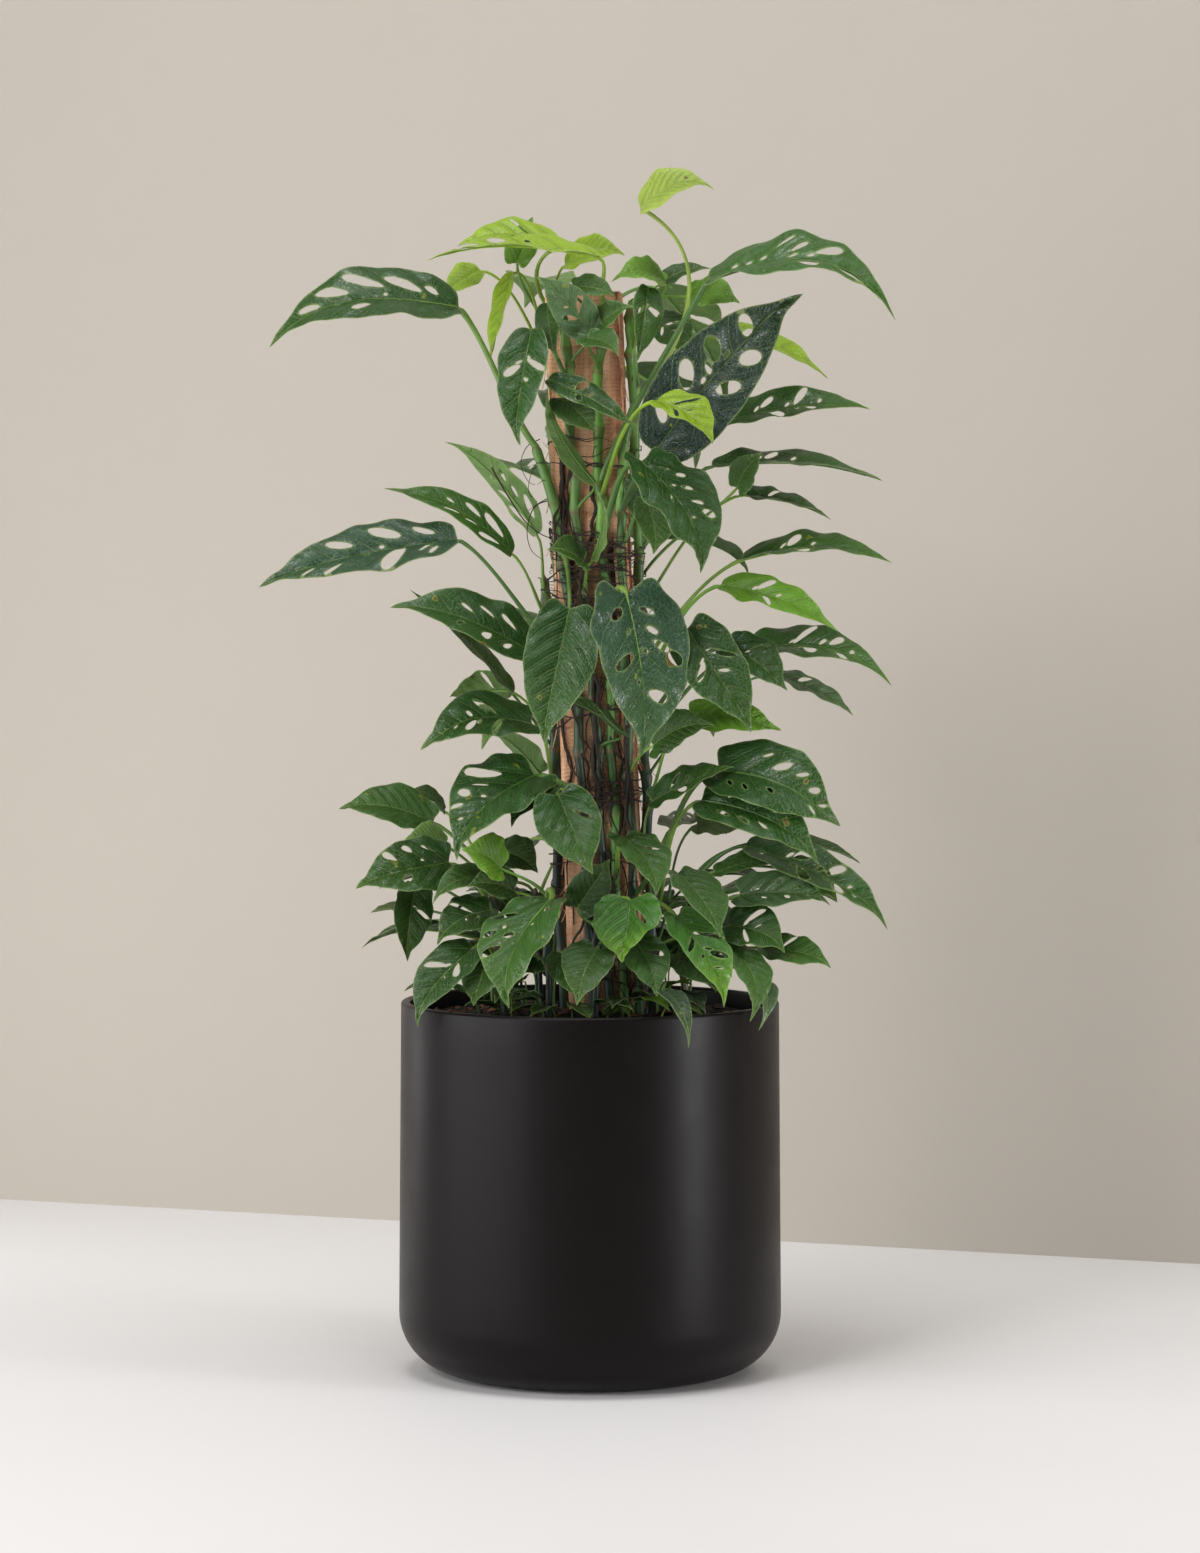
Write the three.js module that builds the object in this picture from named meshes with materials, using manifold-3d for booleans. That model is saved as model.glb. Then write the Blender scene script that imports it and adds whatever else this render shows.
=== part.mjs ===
// A swiss-cheese vine (Monstera adansonii) trained up a cedar stake in a round ceramic planter.
// Millimetres, +Z up, -Y is the front. The origin is the centre of the flat underside of the planter.
import * as THREE from "three";
import Module from "manifold-3d";

const wasm = await Module();
wasm.setup();

// ---- driving dimensions -------------------------------------------------------------------

const POT = {
  rimRadius: 152,
  footRadius: 154, // the wall flares by 2 mm from the rim to the foot
  height: 298,
  footCurve: 48, // radius of the rounded lower edge
  wall: 7,
  lip: 2.5, // radius of the rounded rim
  floor: 11,
  segments: 32,
};
const SOIL = { belowRim: 13, mound: 7, sideGap: 1, segments: 20 };
const STAKE = { wide: 62, thick: 36, top: 866, foot: 70, leftAtTop: -36, lean: 0.0337 };
const STEM_RADIUS = 4.2;
const STEM_FOOT = 235; // how low the stems reach into the soil
const SHOOT_RADIUS = 3;
const STEM_SIDES = 5;
const BLADE_THICK = 1.2;
const GAP = 0.3; // clearance between pieces that touch

// ---- small helpers ------------------------------------------------------------------------

const vec = (a) => new THREE.Vector3(...a);
const radians = THREE.MathUtils.degToRad;

// A closed triangle list as a solid.
function solid(points, triangles) {
  const positions = new Float32Array(points.flatMap((p) => [p.x, p.y, p.z]));
  return new wasm.Manifold(
    new wasm.Mesh({ numProp: 3, vertProperties: positions, triVerts: new Uint32Array(triangles) }),
  );
}

// A profile of [radius, height] points, from the axis to the axis, turned about Z.
function turned(profile, segments) {
  const points = [];
  const triangles = [];
  const ring = profile.map(([r, z]) => {
    const first = points.length;
    const count = r === 0 ? 1 : segments;
    for (let i = 0; i < count; i++) {
      const a = (2 * Math.PI * i) / segments;
      points.push(new THREE.Vector3(r * Math.cos(a), r * Math.sin(a), z));
    }
    return { first, count };
  });
  for (let k = 0; k + 1 < ring.length; k++) {
    for (let i = 0; i < segments; i++) {
      const at = (which, step) => which.first + (which.count === 1 ? 0 : (i + step) % segments);
      const [a, b] = [ring[k], ring[k + 1]];
      if (a.count > 1) triangles.push(at(a, 0), at(a, 1), at(b, 1));
      if (b.count > 1) triangles.push(at(a, 0), at(b, 1), at(b, 0));
    }
  }
  return solid(points, triangles);
}

// Points of an arc in a profile, from one angle to another in degrees.
function arc(r, z, radius, from, to, steps) {
  return Array.from({ length: steps + 1 }, (_, i) => {
    const a = radians(from + ((to - from) * i) / steps);
    return [r + radius * Math.cos(a), z + radius * Math.sin(a)];
  });
}

// A tube of the given number of sides through a list of points, capped at both ends.
function tube(path, radius, sides) {
  const points = [];
  const triangles = [];
  let side = new THREE.Vector3(1, 0, 0);
  path.forEach((p, k) => {
    const ahead = path[Math.min(k + 1, path.length - 1)].clone();
    const along = ahead.sub(path[Math.max(k - 1, 0)]).normalize();
    side = side.clone().addScaledVector(along, -side.dot(along)).normalize();
    const across = along.clone().cross(side);
    for (let i = 0; i < sides; i++) {
      const a = (2 * Math.PI * i) / sides;
      const out = side.clone().multiplyScalar(Math.cos(a)).addScaledVector(across, Math.sin(a));
      points.push(p.clone().addScaledVector(out, radius));
    }
  });
  const last = (path.length - 1) * sides;
  for (let k = 0; k < last; k += sides)
    for (let i = 0; i < sides; i++) {
      const j = (i + 1) % sides;
      triangles.push(k + i, k + j, k + sides + j, k + i, k + sides + j, k + sides + i);
    }
  for (let i = 1; i + 1 < sides; i++) {
    triangles.push(0, i + 1, i);
    triangles.push(last, last + i, last + i + 1);
  }
  return solid(points, triangles);
}

// ---- planter, potting mix and stake -------------------------------------------------------

function planter() {
  const { rimRadius, footRadius, height, footCurve, wall, lip, floor, segments } = POT;
  return turned(
    [
      [0, 0],
      ...arc(footRadius - footCurve, footCurve, footCurve, -90, 0, 3),
      ...arc(rimRadius - lip, height - lip, lip, 0, 90, 2),
      ...arc(rimRadius - wall + lip, height - lip, lip, 90, 180, 2),
      [footRadius - wall, footCurve],
      [footRadius - footCurve, floor],
      [0, floor],
    ],
    segments,
  );
}

const soilTop = POT.height - SOIL.belowRim;

function pottingMix() {
  const { rimRadius, footRadius, footCurve, wall, floor } = POT;
  const radius = rimRadius - wall - SOIL.sideGap;
  return turned(
    [
      [0, floor + GAP],
      [footRadius - footCurve - SOIL.sideGap - GAP, floor + GAP],
      [radius, footCurve + SOIL.sideGap],
      [radius, soilTop],
      [radius * 0.6, soilTop + SOIL.mound * 0.7],
      [0, soilTop + SOIL.mound],
    ],
    SOIL.segments,
  );
}

// The stake's left edge at a height: it leans towards the left as it rises.
const stakeLeft = (z) => STAKE.leftAtTop + (STAKE.top - z) * STAKE.lean;

// The stake, or with a margin the hole that it stands in.
function stakeSolid(margin) {
  const bottom = STAKE.foot - margin;
  const box = new THREE.BoxGeometry(1, 1, 1).toNonIndexed();
  const corners = [];
  const triangles = [];
  const position = box.getAttribute("position");
  const seen = new Map();
  for (let i = 0; i < position.count; i++) {
    const key = [position.getX(i), position.getY(i), position.getZ(i)].join();
    if (!seen.has(key)) {
      seen.set(key, corners.length);
      const z = position.getZ(i) > 0 ? STAKE.top : bottom;
      const middle = stakeLeft(z) + STAKE.wide / 2;
      corners.push(
        new THREE.Vector3(
          middle + position.getX(i) * (STAKE.wide + 2 * margin),
          position.getY(i) * (STAKE.thick + 2 * margin),
          z,
        ),
      );
    }
    triangles.push(seen.get(key));
  }
  return solid(corners, triangles);
}

// ---- leaves -------------------------------------------------------------------------------

// Half of the blade's width at a share t of its length, as a share of the widest half.
const OUTLINE = { base: 0.52, tip: 1.0 };
const WIDEST = OUTLINE.base / (OUTLINE.base + OUTLINE.tip);
const outlineRaw = (t) => t ** OUTLINE.base * (1 - t) ** OUTLINE.tip;
const halfWidth = (t) => outlineRaw(t) / outlineRaw(WIDEST);

const MIDRIB_FOLD = radians(22); // each half rises from the midrib by this much
const EDGE_DROOP = 0.16; // and its edge droops again, as a share of the half width
const EDGE_WAVE = 0.07; // height of the edge's waves, as a share of the half width
const WAVES = 2.3;
const VEIN_ANGLE = radians(50); // between the midrib and the long way of a hole

// The holes of a leaf, largest first, alternating between its sides. Each has its place along
// the midrib, its reach across the half blade, and its half width along the midrib.
const HOLE_PLACES = [
  [0.34, 1], [0.4, -1], [0.56, 1], [0.62, -1], [0.2, -1], [0.15, 1],
];
const HOLE_MIDDLE = 0.46;
const HOLE_REACH = 0.36;
const HOLE_HALF_WIDTH = 0.04;

// A petiole is stouter on a broad leaf; its cross-section is a square of twice this.
const petioleRadius = (leaf) => (leaf.wide > 60 ? 2.9 : leaf.wide > 38 ? 2.1 : 1.5);

// The lobes of a blade's base reach behind the petiole, further on a broad blade than on a
// slender one.
const LOBE = { at: 0.06, from: 0.35, rate: 0.5, least: 0.03, most: 0.12 };
const lobeReach = (leaf, length) =>
  THREE.MathUtils.clamp((leaf.wide / length - LOBE.from) * LOBE.rate, LOBE.least, LOBE.most);
const lobeShare = (t) => (t / LOBE.at) * Math.exp(1 - t / LOBE.at);

// The frame of a blade: its chord, its length, its upper face's direction and its side.
function bladeFrame(leaf) {
  const base = vec(leaf.base);
  const chord = vec(leaf.tip).sub(base);
  const length = chord.length();
  const along = chord.normalize();
  const [tilt, turn] = leaf.face.map(radians);
  const up = new THREE.Vector3(
    Math.sin(turn) * Math.sin(tilt),
    -Math.cos(turn) * Math.sin(tilt),
    Math.cos(tilt),
  );
  up.addScaledVector(along, -up.dot(along)).normalize();
  return { base, along, length, up, side: up.clone().cross(along) };
}

// A point of the blade's middle surface: s from 0 at the base to 1 at the tip, and across in mm.
function onBlade(leaf, frame, s, across) {
  const half = leaf.wide / 2;
  const share = Math.abs(across) / half;
  const ahead = Math.max(s, 0);
  const arch = leaf.arch * frame.length * 4 * ahead * (1 - ahead) * (0.7 + 0.6 * ahead);
  const wave = EDGE_WAVE * Math.sin(2 * Math.PI * (WAVES * s + 0.5 * (across > 0)) + leaf.phase);
  const rise = half * (share * Math.tan(MIDRIB_FOLD) + share ** 2 * (wave - EDGE_DROOP));
  return frame.base
    .clone()
    .addScaledVector(frame.along, frame.length * s)
    .addScaledVector(frame.up, arch + rise)
    .addScaledVector(frame.side, across);
}

// The petiole's line, from its stem to the blade's base, as a cubic curve.
function petioleCurve(leaf, root, outward, frame) {
  const base = frame.base;
  if (leaf.via) return new THREE.CubicBezierCurve3(root, vec(leaf.via[0]), vec(leaf.via[1]), base);
  const reach = base.clone().sub(root);
  const length = reach.length();
  const arrive = reach.normalize().add(frame.along).normalize();
  const leave = outward.clone().multiplyScalar(0.5).add(new THREE.Vector3(0, 0, 0.8)).normalize();
  return new THREE.CubicBezierCurve3(
    root,
    root.clone().addScaledVector(leave, length * 0.36),
    base.clone().addScaledVector(arrive, -length * 0.3),
    base,
  );
}

// How finely a leaf of a given length is cut: points along its edge and midrib, and petiole steps.
function fineness(length) {
  if (length > 90) return { edge: [0.05, 0.2, 0.42, 0.66, 0.87], rib: [0.14, 0.42, 0.72], steps: 3 };
  if (length > 52) return { edge: [0.06, 0.26, 0.55, 0.82], rib: [0.2, 0.6], steps: 3 };
  return { edge: [0.08, 0.34, 0.7], rib: [0.35], steps: 2 };
}

// One leaf with its petiole as one solid, rooted at a point inside its stem.
function leafSolid(leaf, root, outward) {
  const frame = bladeFrame(leaf);
  const cut = fineness(frame.length);
  const half = leaf.wide / 2;
  const petiole = petioleRadius(leaf);
  const lobe = lobeReach(leaf, frame.length);
  const flat = []; // the blade laid flat: x along the midrib in mm, y across
  const place = (s, across) => flat.push(new THREE.Vector2(s * frame.length, across)) - 1;

  const socket = [place(0, -petiole), place(0, petiole)];
  const ribs = cut.rib.map((s) => place(s, 0));
  const tip = place(1, 0);
  const triangles = [];
  const face = (outline, holes) => {
    const ids = [...outline, ...holes.flat()];
    const look = (list) => list.map((id) => flat[id].clone());
    for (const t of THREE.ShapeUtils.triangulateShape(look(outline), holes.map(look))) {
      const [a, b, c] = t.map((i) => ids[i]);
      const area = flat[b].clone().sub(flat[a]).cross(flat[c].clone().sub(flat[a]));
      triangles.push(area > 0 ? [a, b, c] : [a, c, b]);
    }
  };
  [-1, 1].forEach((sign, which) => {
    const edge = cut.edge.map((t) => place(t - lobe * lobeShare(t), sign * half * halfWidth(t)));
    const holes = HOLE_PLACES.slice(0, leaf.holes)
      .filter(([, side]) => side === sign)
      .map(([s]) => {
        const local = half * halfWidth(s);
        const middle = new THREE.Vector2(s * frame.length, sign * local * HOLE_MIDDLE);
        const long = new THREE.Vector2(Math.cos(VEIN_ANGLE), sign * Math.sin(VEIN_ANGLE));
        const short = new THREE.Vector2(Math.sin(VEIN_ANGLE), -sign * Math.cos(VEIN_ANGLE));
        long.multiplyScalar((local * HOLE_REACH) / Math.sin(VEIN_ANGLE));
        short.multiplyScalar(frame.length * HOLE_HALF_WIDTH);
        return [long, short, long.clone().negate(), short.clone().negate()].map((step) => {
          const p = middle.clone().add(step);
          return place(p.x / frame.length, p.y);
        });
      });
    face([socket[which], ...edge, tip, ...[...ribs].reverse()], holes);
  });
  face([socket[0], socket[1], ribs[0]], []);

  // The upper and lower faces are the same surface, half a thickness up and half down.
  const points = [];
  for (const lift of [BLADE_THICK / 2, -BLADE_THICK / 2])
    for (const p of flat)
      points.push(onBlade(leaf, frame, p.x / frame.length, p.y).addScaledVector(frame.up, lift));
  const under = flat.length;
  const all = triangles.flatMap(([a, b, c]) => [a, b, c, a + under, c + under, b + under]);
  const inner = new Set(triangles.flatMap(([a, b, c]) => [`${a},${b}`, `${b},${c}`, `${c},${a}`]));
  let mouth;
  for (const edge of inner) {
    const [a, b] = edge.split(",").map(Number);
    if (inner.has(`${b},${a}`)) continue;
    if (socket.includes(a) && socket.includes(b)) mouth = [b, a, a + under, b + under];
    else all.push(b, a, a + under, b, a + under, b + under);
  }

  // The petiole runs from the blade's mouth down to its root, four-sided.
  const curve = petioleCurve(leaf, root, outward, frame);
  let ring = mouth;
  const signs = mouth.map((id) => [id % under === socket[0] ? -1 : 1, id < under ? 1 : -1]);
  const side = frame.side.clone();
  const up = frame.up.clone();
  let before = frame.along;
  for (let k = 1; k <= cut.steps; k++) {
    const centre = curve.getPoint(1 - k / cut.steps);
    const along = curve.getTangent(1 - k / cut.steps);
    const turn = new THREE.Quaternion().setFromUnitVectors(before, along);
    side.applyQuaternion(turn);
    up.applyQuaternion(turn);
    before = along;
    const next = signs.map(([x, y]) => {
      const p = centre.clone().addScaledVector(side, x * petiole);
      return points.push(p.addScaledVector(up, y * petiole)) - 1;
    });
    for (let i = 0; i < 4; i++) {
      const j = (i + 1) % 4;
      all.push(ring[i], ring[j], next[j], ring[i], next[j], next[i]);
    }
    ring = next;
  }
  all.push(ring[0], ring[1], ring[2], ring[0], ring[2], ring[3]);
  return solid(points, all);
}

// ---- the vines and their leaves -----------------------------------------------------------
// A stem is its points from the soil up. A leaf is: the height where it leaves the stem, the
// blade's base, its tip, its width, [tilt, turn] of its upper face (tilt from straight up,
// towards turn: 0 the front, 90 the right), its arch as a share of its length, and its holes.

const VINES = {
  vine_front_left: {
    stem: [
      [0, -23, 330], [-4, -23, 420], [-8, -23, 500], [-14, -23, 590],
      [-23, -23, 660], [-32, -23, 705], [-43, -20, 745],
    ],
    leaves: [
      [741, [-104, -24, 852], [-254, -36, 820], 68, [40, 0], 0.18, 6, [[-62, -22, 762], [-84, -22, 832]]],
      [562, [-105, -40, 668], [-262, -55, 631], 55, [42, 0], 0.05, 6, [[-44, -34, 592], [-78, -38, 656]]],
      [540, [-45, -50, 578], [-157, -75, 616], 54, [45, 0], 0.1, 2],
      [650, [-16, -78, 614], [-38, -100, 508], 58, [80, -5], 0.06, 0],
      [430, [-25, -82, 467], [0, -108, 406], 52, [62, 0], 0.1, 1],
      [445, [-28, -62, 472], [-63, -88, 442], 34, [45, -40], 0.1, 0],
      [455, [-43, -54, 474], [-108, -90, 410], 74, [68, -34], 0.16, 5],
    ],
  },
  vine_front_middle: {
    stem: [
      [13, -23, 330], [9, -23, 430], [5, -23, 520], [-2, -23, 600],
      [-10, -23, 680], [-15, -23, 750], [-17, -24, 810], [-20, -28, 850],
    ],
    leaves: [
      [790, [-46, -48, 834], [-59, -78, 741], 40, [75, -15], 0.08, 2],
      [770, [-33, -52, 794], [36, -84, 753], 25, [50, 0], 0.08, 2],
      [745, [-22, -45, 780], [5, -66, 750], 32, [65, 0], 0.1, 0],
      [805, [0, -48, 832], [-40, -62, 876], 34, [60, -20], 0.08, 2],
      [820, [-34, -36, 852], [-26, -56, 806], 21, [65, -25], 0.12, 0],
      [690, [4, -52, 712], [-34, -76, 786], 20, [35, -70], 0.1, 0],
      [640, [2, -56, 652], [6, -82, 706], 24, [40, 60], 0.1, 0],
      [625, [-5, -50, 650], [-34, -76, 660], 31, [58, -15], 0.12, 0],
      [500, [25, -45, 513], [-22, -66, 541], 34, [20, 0], 0.08, 2],
      [350, [-10, -45, 376], [16, -52, 415], 34, [75, 0], 0.08, 0],
    ],
  },
  vine_front_right: {
    stem: [
      [25, -23, 330], [20, -23, 430], [17, -23, 520], [12, -23, 600],
      [9, -23, 680], [6, -23, 750], [8, -23, 820], [10, -24, 860],
    ],
    leaves: [
      [858, [8, -30, 892], [-128, -42, 888], 42, [18, 0], 0.08, 2],
      [712, [93, -42, 873], [241, -62, 841], 66, [30, 0], 0.24, 6, [[20, -38, 752], [60, -46, 815]]],
      [600, [28, -86, 627], [42, -104, 498], 82, [82, 26], 0.06, 6],
      [700, [52, -88, 776], [97, -108, 742], 46, [56, 40], 0.14, 2],
      [668, [40, -78, 729], [89, -104, 642], 76, [66, 42], 0.12, 5],
      [820, [3, -46, 838], [34, -66, 856], 26, [55, 10], 0.1, 0],
      [800, [-2, -52, 826], [24, -82, 812], 28, [55, 5], 0.1, 0],
      [840, [-14, -44, 868], [21, -52, 860], 24, [50, 0], 0.12, 0],
      [400, [26, -62, 433], [54, -100, 389], 46, [58, 32], 0.12, 1],
    ],
  },
  vine_right_front: {
    stem: [
      [37, -23, 330], [33, -23, 430], [30, -23, 520], [27, -23, 600],
      [25, -23, 680], [26, -24, 740], [38, -30, 778],
    ],
    leaves: [
      [776, [40, -32, 930], [98, -40, 946], 42, [42, 0], 0.22, 0, [[96, -34, 850], [88, -34, 905]]],
      [690, [51, -62, 737], [162, -78, 865], 70, [78, 15], 0.05, 5],
      [690, [50, -38, 724], [42, -48, 674], 36, [72, 0], 0.06, 0],
      [660, [45, -42, 698], [51, -58, 656], 34, [65, 20], 0.08, 0],
      [560, [77, -74, 598], [128, -98, 517], 54, [68, 12], 0.08, 2],
      [480, [50, -55, 505], [98, -72, 522], 38, [55, 0], 0.15, 0],
      [380, [69, -76, 405], [102, -106, 356], 46, [60, 40], 0.12, 0],
    ],
  },
  vine_right_side: {
    stem: [[49.6, -6, 330], [41.4, -6, 570], [32.8, -8, 825], [34, -10, 860]],
    leaves: [
      [840, [60, -20, 872], [17, -36, 872], 30, [48, 0], 0.28, 0],
      [815, [46, -34, 868], [36, -60, 808], 28, [62, 40], 0.08, 2],
      [828, [52, -32, 862], [76, -52, 830], 40, [60, 20], 0.1, 2],
      [850, [80, -12, 862], [119, -22, 855], 34, [52, 0], 0.2, 0],
      [762, [88, 8, 832], [190, 4, 795], 38, [28, 0], 0.1, 2],
      [655, [97, -12, 727], [233, -18, 713], 42, [18, 0], 0.08, 2],
      [565, [121, -12, 652], [241, -22, 647], 42, [22, 0], 0.1, 2],
      [550, [104, -28, 632], [195, -44, 593], 42, [32, 0], 0.12, 2],
      [515, [109, -42, 583], [154, -62, 547], 40, [48, 0], 0.1, 1],
      [455, [79, -32, 529], [151, -48, 514], 38, [48, 0], 0.15, 0],
      [390, [101, -42, 485], [196, -64, 438], 63, [56, 0], 0.18, 6],
      [380, [50, -36, 460], [114, -50, 487], 38, [32, 0], 0.08, 2],
    ],
  },
  vine_right_rear: {
    stem: [[49.6, 9, 330], [41.4, 9, 570], [32.6, 8, 855]],
    leaves: [
      [845, [55, 2, 872], [97, 6, 884], 22, [35, 0], 0.1, 0],
      [682, [101, 2, 760], [224, -8, 771], 44, [32, 0], 0.1, 4],
      [635, [117, -22, 709], [137, -38, 737], 26, [60, 0], 0.1, 0],
      [610, [121, 6, 704], [193, 2, 684], 30, [20, 0], 0.08, 1],
      [500, [128, -8, 582], [241, -22, 552], 52, [28, 0], 0.12, 4],
      [475, [147, 14, 560], [212, 8, 527], 32, [20, 0], 0.06, 1],
      [350, [88, -46, 465], [182, -74, 417], 52, [48, 0], 0.12, 2],
      [335, [86, 2, 440], [141, -4, 436], 36, [38, 0], 0.1, 1],
    ],
  },
  vine_left_side: {
    stem: [[-23.6, -4, 330], [-33, -4, 600], [-36, -4, 640]],
    leaves: [
      [620, [-42, -14, 672], [-113, -20, 748], 29, [40, 180], 0.05, 2],
      [600, [-62, -20, 657], [-165, -30, 705], 33, [42, 0], 0.12, 2],
      [500, [-62, -14, 545], [-144, -34, 626], 32, [22, 0], 0.06, 0],
      [470, [-46, -34, 521], [-133, -54, 498], 50, [45, 0], 0.22, 3],
    ],
  },
  vine_left_rear: {
    stem: [[-20, 24, 330], [-24, 23.5, 500], [-27, 23, 680], [-35, 23, 860]],
    leaves: [
      [818, [-62, -6, 882], [-78, -20, 810], 28, [60, -60], 0.05, 0],
      [856, [-24, -2, 901], [-105, -12, 900], 46, [30, 0], 0.12, 2, [[-50, 22, 880], [-42, 6, 898]]],
      [810, [-88, 14, 884], [-116, 6, 864], 28, [45, 0], 0.1, 0],
      [840, [-59, 20, 890], [-47, 24, 928], 26, [60, 0], 0.05, 0],
      [848, [-20, 14, 888], [28, 2, 896], 36, [45, 0], 0.15, 0, [[-30, 31, 868], [-26, 24, 886]]],
      [500, [-66, 12, 547], [-113, 8, 542], 38, [45, 180], 0.1, 1],
      [440, [-40, 4, 480], [-82, 0, 516], 28, [35, 180], 0.06, 0],
    ],
  },
  shoot_left: {
    stem: [[-71, -8, 300], [-76, -8, 350], [-80, -8, 400]],
    leaves: [
      [393, [-126, 2, 441], [-202, -4, 452], 42, [48, 0], 0.1, 0],
      [370, [-112, -34, 411], [-186, -54, 392], 54, [52, 0], 0.14, 3],
      [387, [-116, -18, 427], [-148, -28, 433], 28, [50, 0], 0.12, 0],
      [385, [-72, -30, 420], [-42, -36, 402], 34, [50, 0], 0.15, 0],
      [390, [-118, 14, 449], [-153, 6, 459], 18, [40, 0], 0.3, 0],
      [340, [-146, 12, 372], [-177, 8, 368], 18, [15, 0], 0.05, 0],
      [350, [-140, -22, 390], [-148, -40, 333], 34, [70, 30], 0.08, 1],
      [380, [-80, -42, 402], [-126, -64, 381], 26, [45, 0], 0.25, 0],
      [350, [-78, -52, 374], [-122, -78, 350], 40, [45, 0], 0.12, 2],
      [320, [-92, -72, 346], [-138, -92, 287], 40, [55, -20], 0.2, 2],
    ],
  },
  shoot_front_left: {
    stem: [[-34, -50, 300], [-34, -52, 350], [-33, -55, 388]],
    leaves: [
      [386, [-30, -86, 386], [-66, -124, 303], 70, [64, -40], 0.12, 5],
      [330, [-18, -86, 342], [-7, -116, 306], 42, [60, 0], 0.1, 1],
      [375, [-60, -62, 390], [-97, -74, 395], 34, [52, 0], 0.12, 0],
      [330, [-82, -86, 338], [-92, -106, 306], 34, [60, -15], 0.1, 0],
      [384, [-70, -66, 409], [-101, -82, 425], 38, [60, 0], 0.12, 0],
    ],
  },
  shoot_front_middle: {
    stem: [[3, -62, 300], [5, -64, 345], [8, -66, 375]],
    leaves: [
      [373, [32, -92, 385], [25, -118, 338], 60, [68, -28], 0.06, 1],
      [335, [6, -88, 344], [-10, -122, 302], 40, [62, 0], 0.12, 0],
      [345, [36, -88, 352], [53, -112, 311], 36, [65, 5], 0.1, 1],
    ],
  },
  shoot_front_right: {
    stem: [[46, -52, 300], [49, -52, 345], [52, -52, 385]],
    leaves: [
      [375, [68, -88, 372], [106, -120, 303], 47, [60, 34], 0.15, 3],
      [320, [68, -66, 340], [101, -88, 314], 36, [50, 5], 0.1, 0],
      [308, [56, -108, 332], [78, -163, 293], 19, [28, 20], 0.22, 0, [[60, -60, 316], [62, -92, 326]]],
      [340, [108, -62, 346], [128, -98, 290], 38, [58, 34], 0.22, 0],
    ],
  },
  shoot_right: {
    stem: [[74, -14, 300], [78, -14, 350], [82, -14, 398]],
    leaves: [
      [390, [124, -22, 424], [239, -42, 361], 46, [32, 0], 0.12, 4],
      [388, [153, -34, 406], [198, -48, 382], 32, [48, 0], 0.1, 1],
      [350, [119, -44, 386], [191, -58, 381], 44, [38, 0], 0.12, 4],
      [330, [109, -54, 362], [155, -74, 344], 44, [52, 0], 0.12, 2],
      [320, [138, -44, 344], [192, -54, 330], 34, [38, 0], 0.12, 1],
      [380, [100, -24, 401], [152, -30, 408], 26, [32, 0], 0.1, 0],
      [396, [143, 2, 427], [217, -4, 409], 30, [18, 0], 0.08, 0],
      [310, [122, -48, 326], [134, -92, 282], 22, [55, 40], 0.25, 0],
    ],
  },
};

// The rear vines carry leaves by a rule: each turns and reaches a little differently.
const REAR = {
  vine_rear_left: {
    stem: [[-8, 23, 330], [-14, 23, 500], [-13, 23, 680], [-20, 24, 845]],
    rule: { count: 8, from: 400, to: 825, middle: -10, spread: 14, reach: 58, length: 112, seed: 2.2 },
  },
  vine_rear_right: {
    stem: [[16, 23, 330], [9, 23, 500], [8, 23, 700], [1, 24, 845]],
    rule: { count: 8, from: 380, to: 835, middle: 34, spread: 24, reach: 58, length: 112, seed: 1.9 },
  },
  shoot_rear_left: {
    stem: [[-42, 48, 300], [-44, 50, 350], [-46, 52, 385]],
    rule: { count: 5, from: 330, to: 382, middle: -35, spread: 75, reach: 42, length: 88, seed: 3.1 },
  },
  shoot_rear_right: {
    stem: [[44, 48, 300], [46, 50, 350], [48, 52, 385]],
    rule: { count: 5, from: 330, to: 382, middle: 35, spread: 75, reach: 42, length: 88, seed: 5.2 },
  },
};

// The point of a stem at a height.
function onStem(stem, z) {
  const k = Math.max(1, stem.findIndex((p, i) => i > 0 && (p[2] >= z || i === stem.length - 1)));
  const share = (z - stem[k - 1][2]) / (stem[k][2] - stem[k - 1][2]);
  return vec(stem[k - 1]).lerp(vec(stem[k]), share);
}

// The line of a stem, with its lowest stretch carried on down into the soil.
function stemPath(stem, foot) {
  const [first, second] = [vec(stem[0]), vec(stem[1])];
  return [second.lerp(first, (second.z - foot) / (second.z - first.z)), ...stem.map(vec)];
}

function ruledLeaves(stem, rule) {
  return Array.from({ length: rule.count }, (_, i) => {
    const sway = (k) => Math.sin(k * i + rule.seed * k);
    const at = rule.from + ((rule.to - rule.from) * i) / (rule.count - 1);
    const opened = 1.9 - (1.1 * i) / (rule.count - 1); // the lower leaves spread further sideways
    const heading = radians(rule.middle + rule.spread * opened * sway(2.4));
    const outward = new THREE.Vector3(Math.sin(heading), Math.cos(heading), 0);
    const length = rule.length * (1 + 0.22 * sway(1.7));
    const base = onStem(stem, at).addScaledVector(outward, rule.reach * (1 + 0.45 * sway(3.1)));
    base.z += 24 + 26 * sway(4.3);
    const drop = 0.42 + 0.42 * sway(5.9);
    const tip = base.clone().addScaledVector(outward, length * Math.sqrt(1 - drop * drop));
    tip.z -= length * drop;
    const turn = 180 - THREE.MathUtils.radToDeg(heading);
    const face = [36 + 10 * sway(2.9), turn];
    return [at, base.toArray(), tip.toArray(), length * 0.47, face, 0.12, 2];
  });
}

const plants = { ...VINES };
for (const [name, { stem, rule }] of Object.entries(REAR))
  plants[name] = { stem, leaves: ruledLeaves(stem, rule) };

// ---- assembly -----------------------------------------------------------------------------

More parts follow.
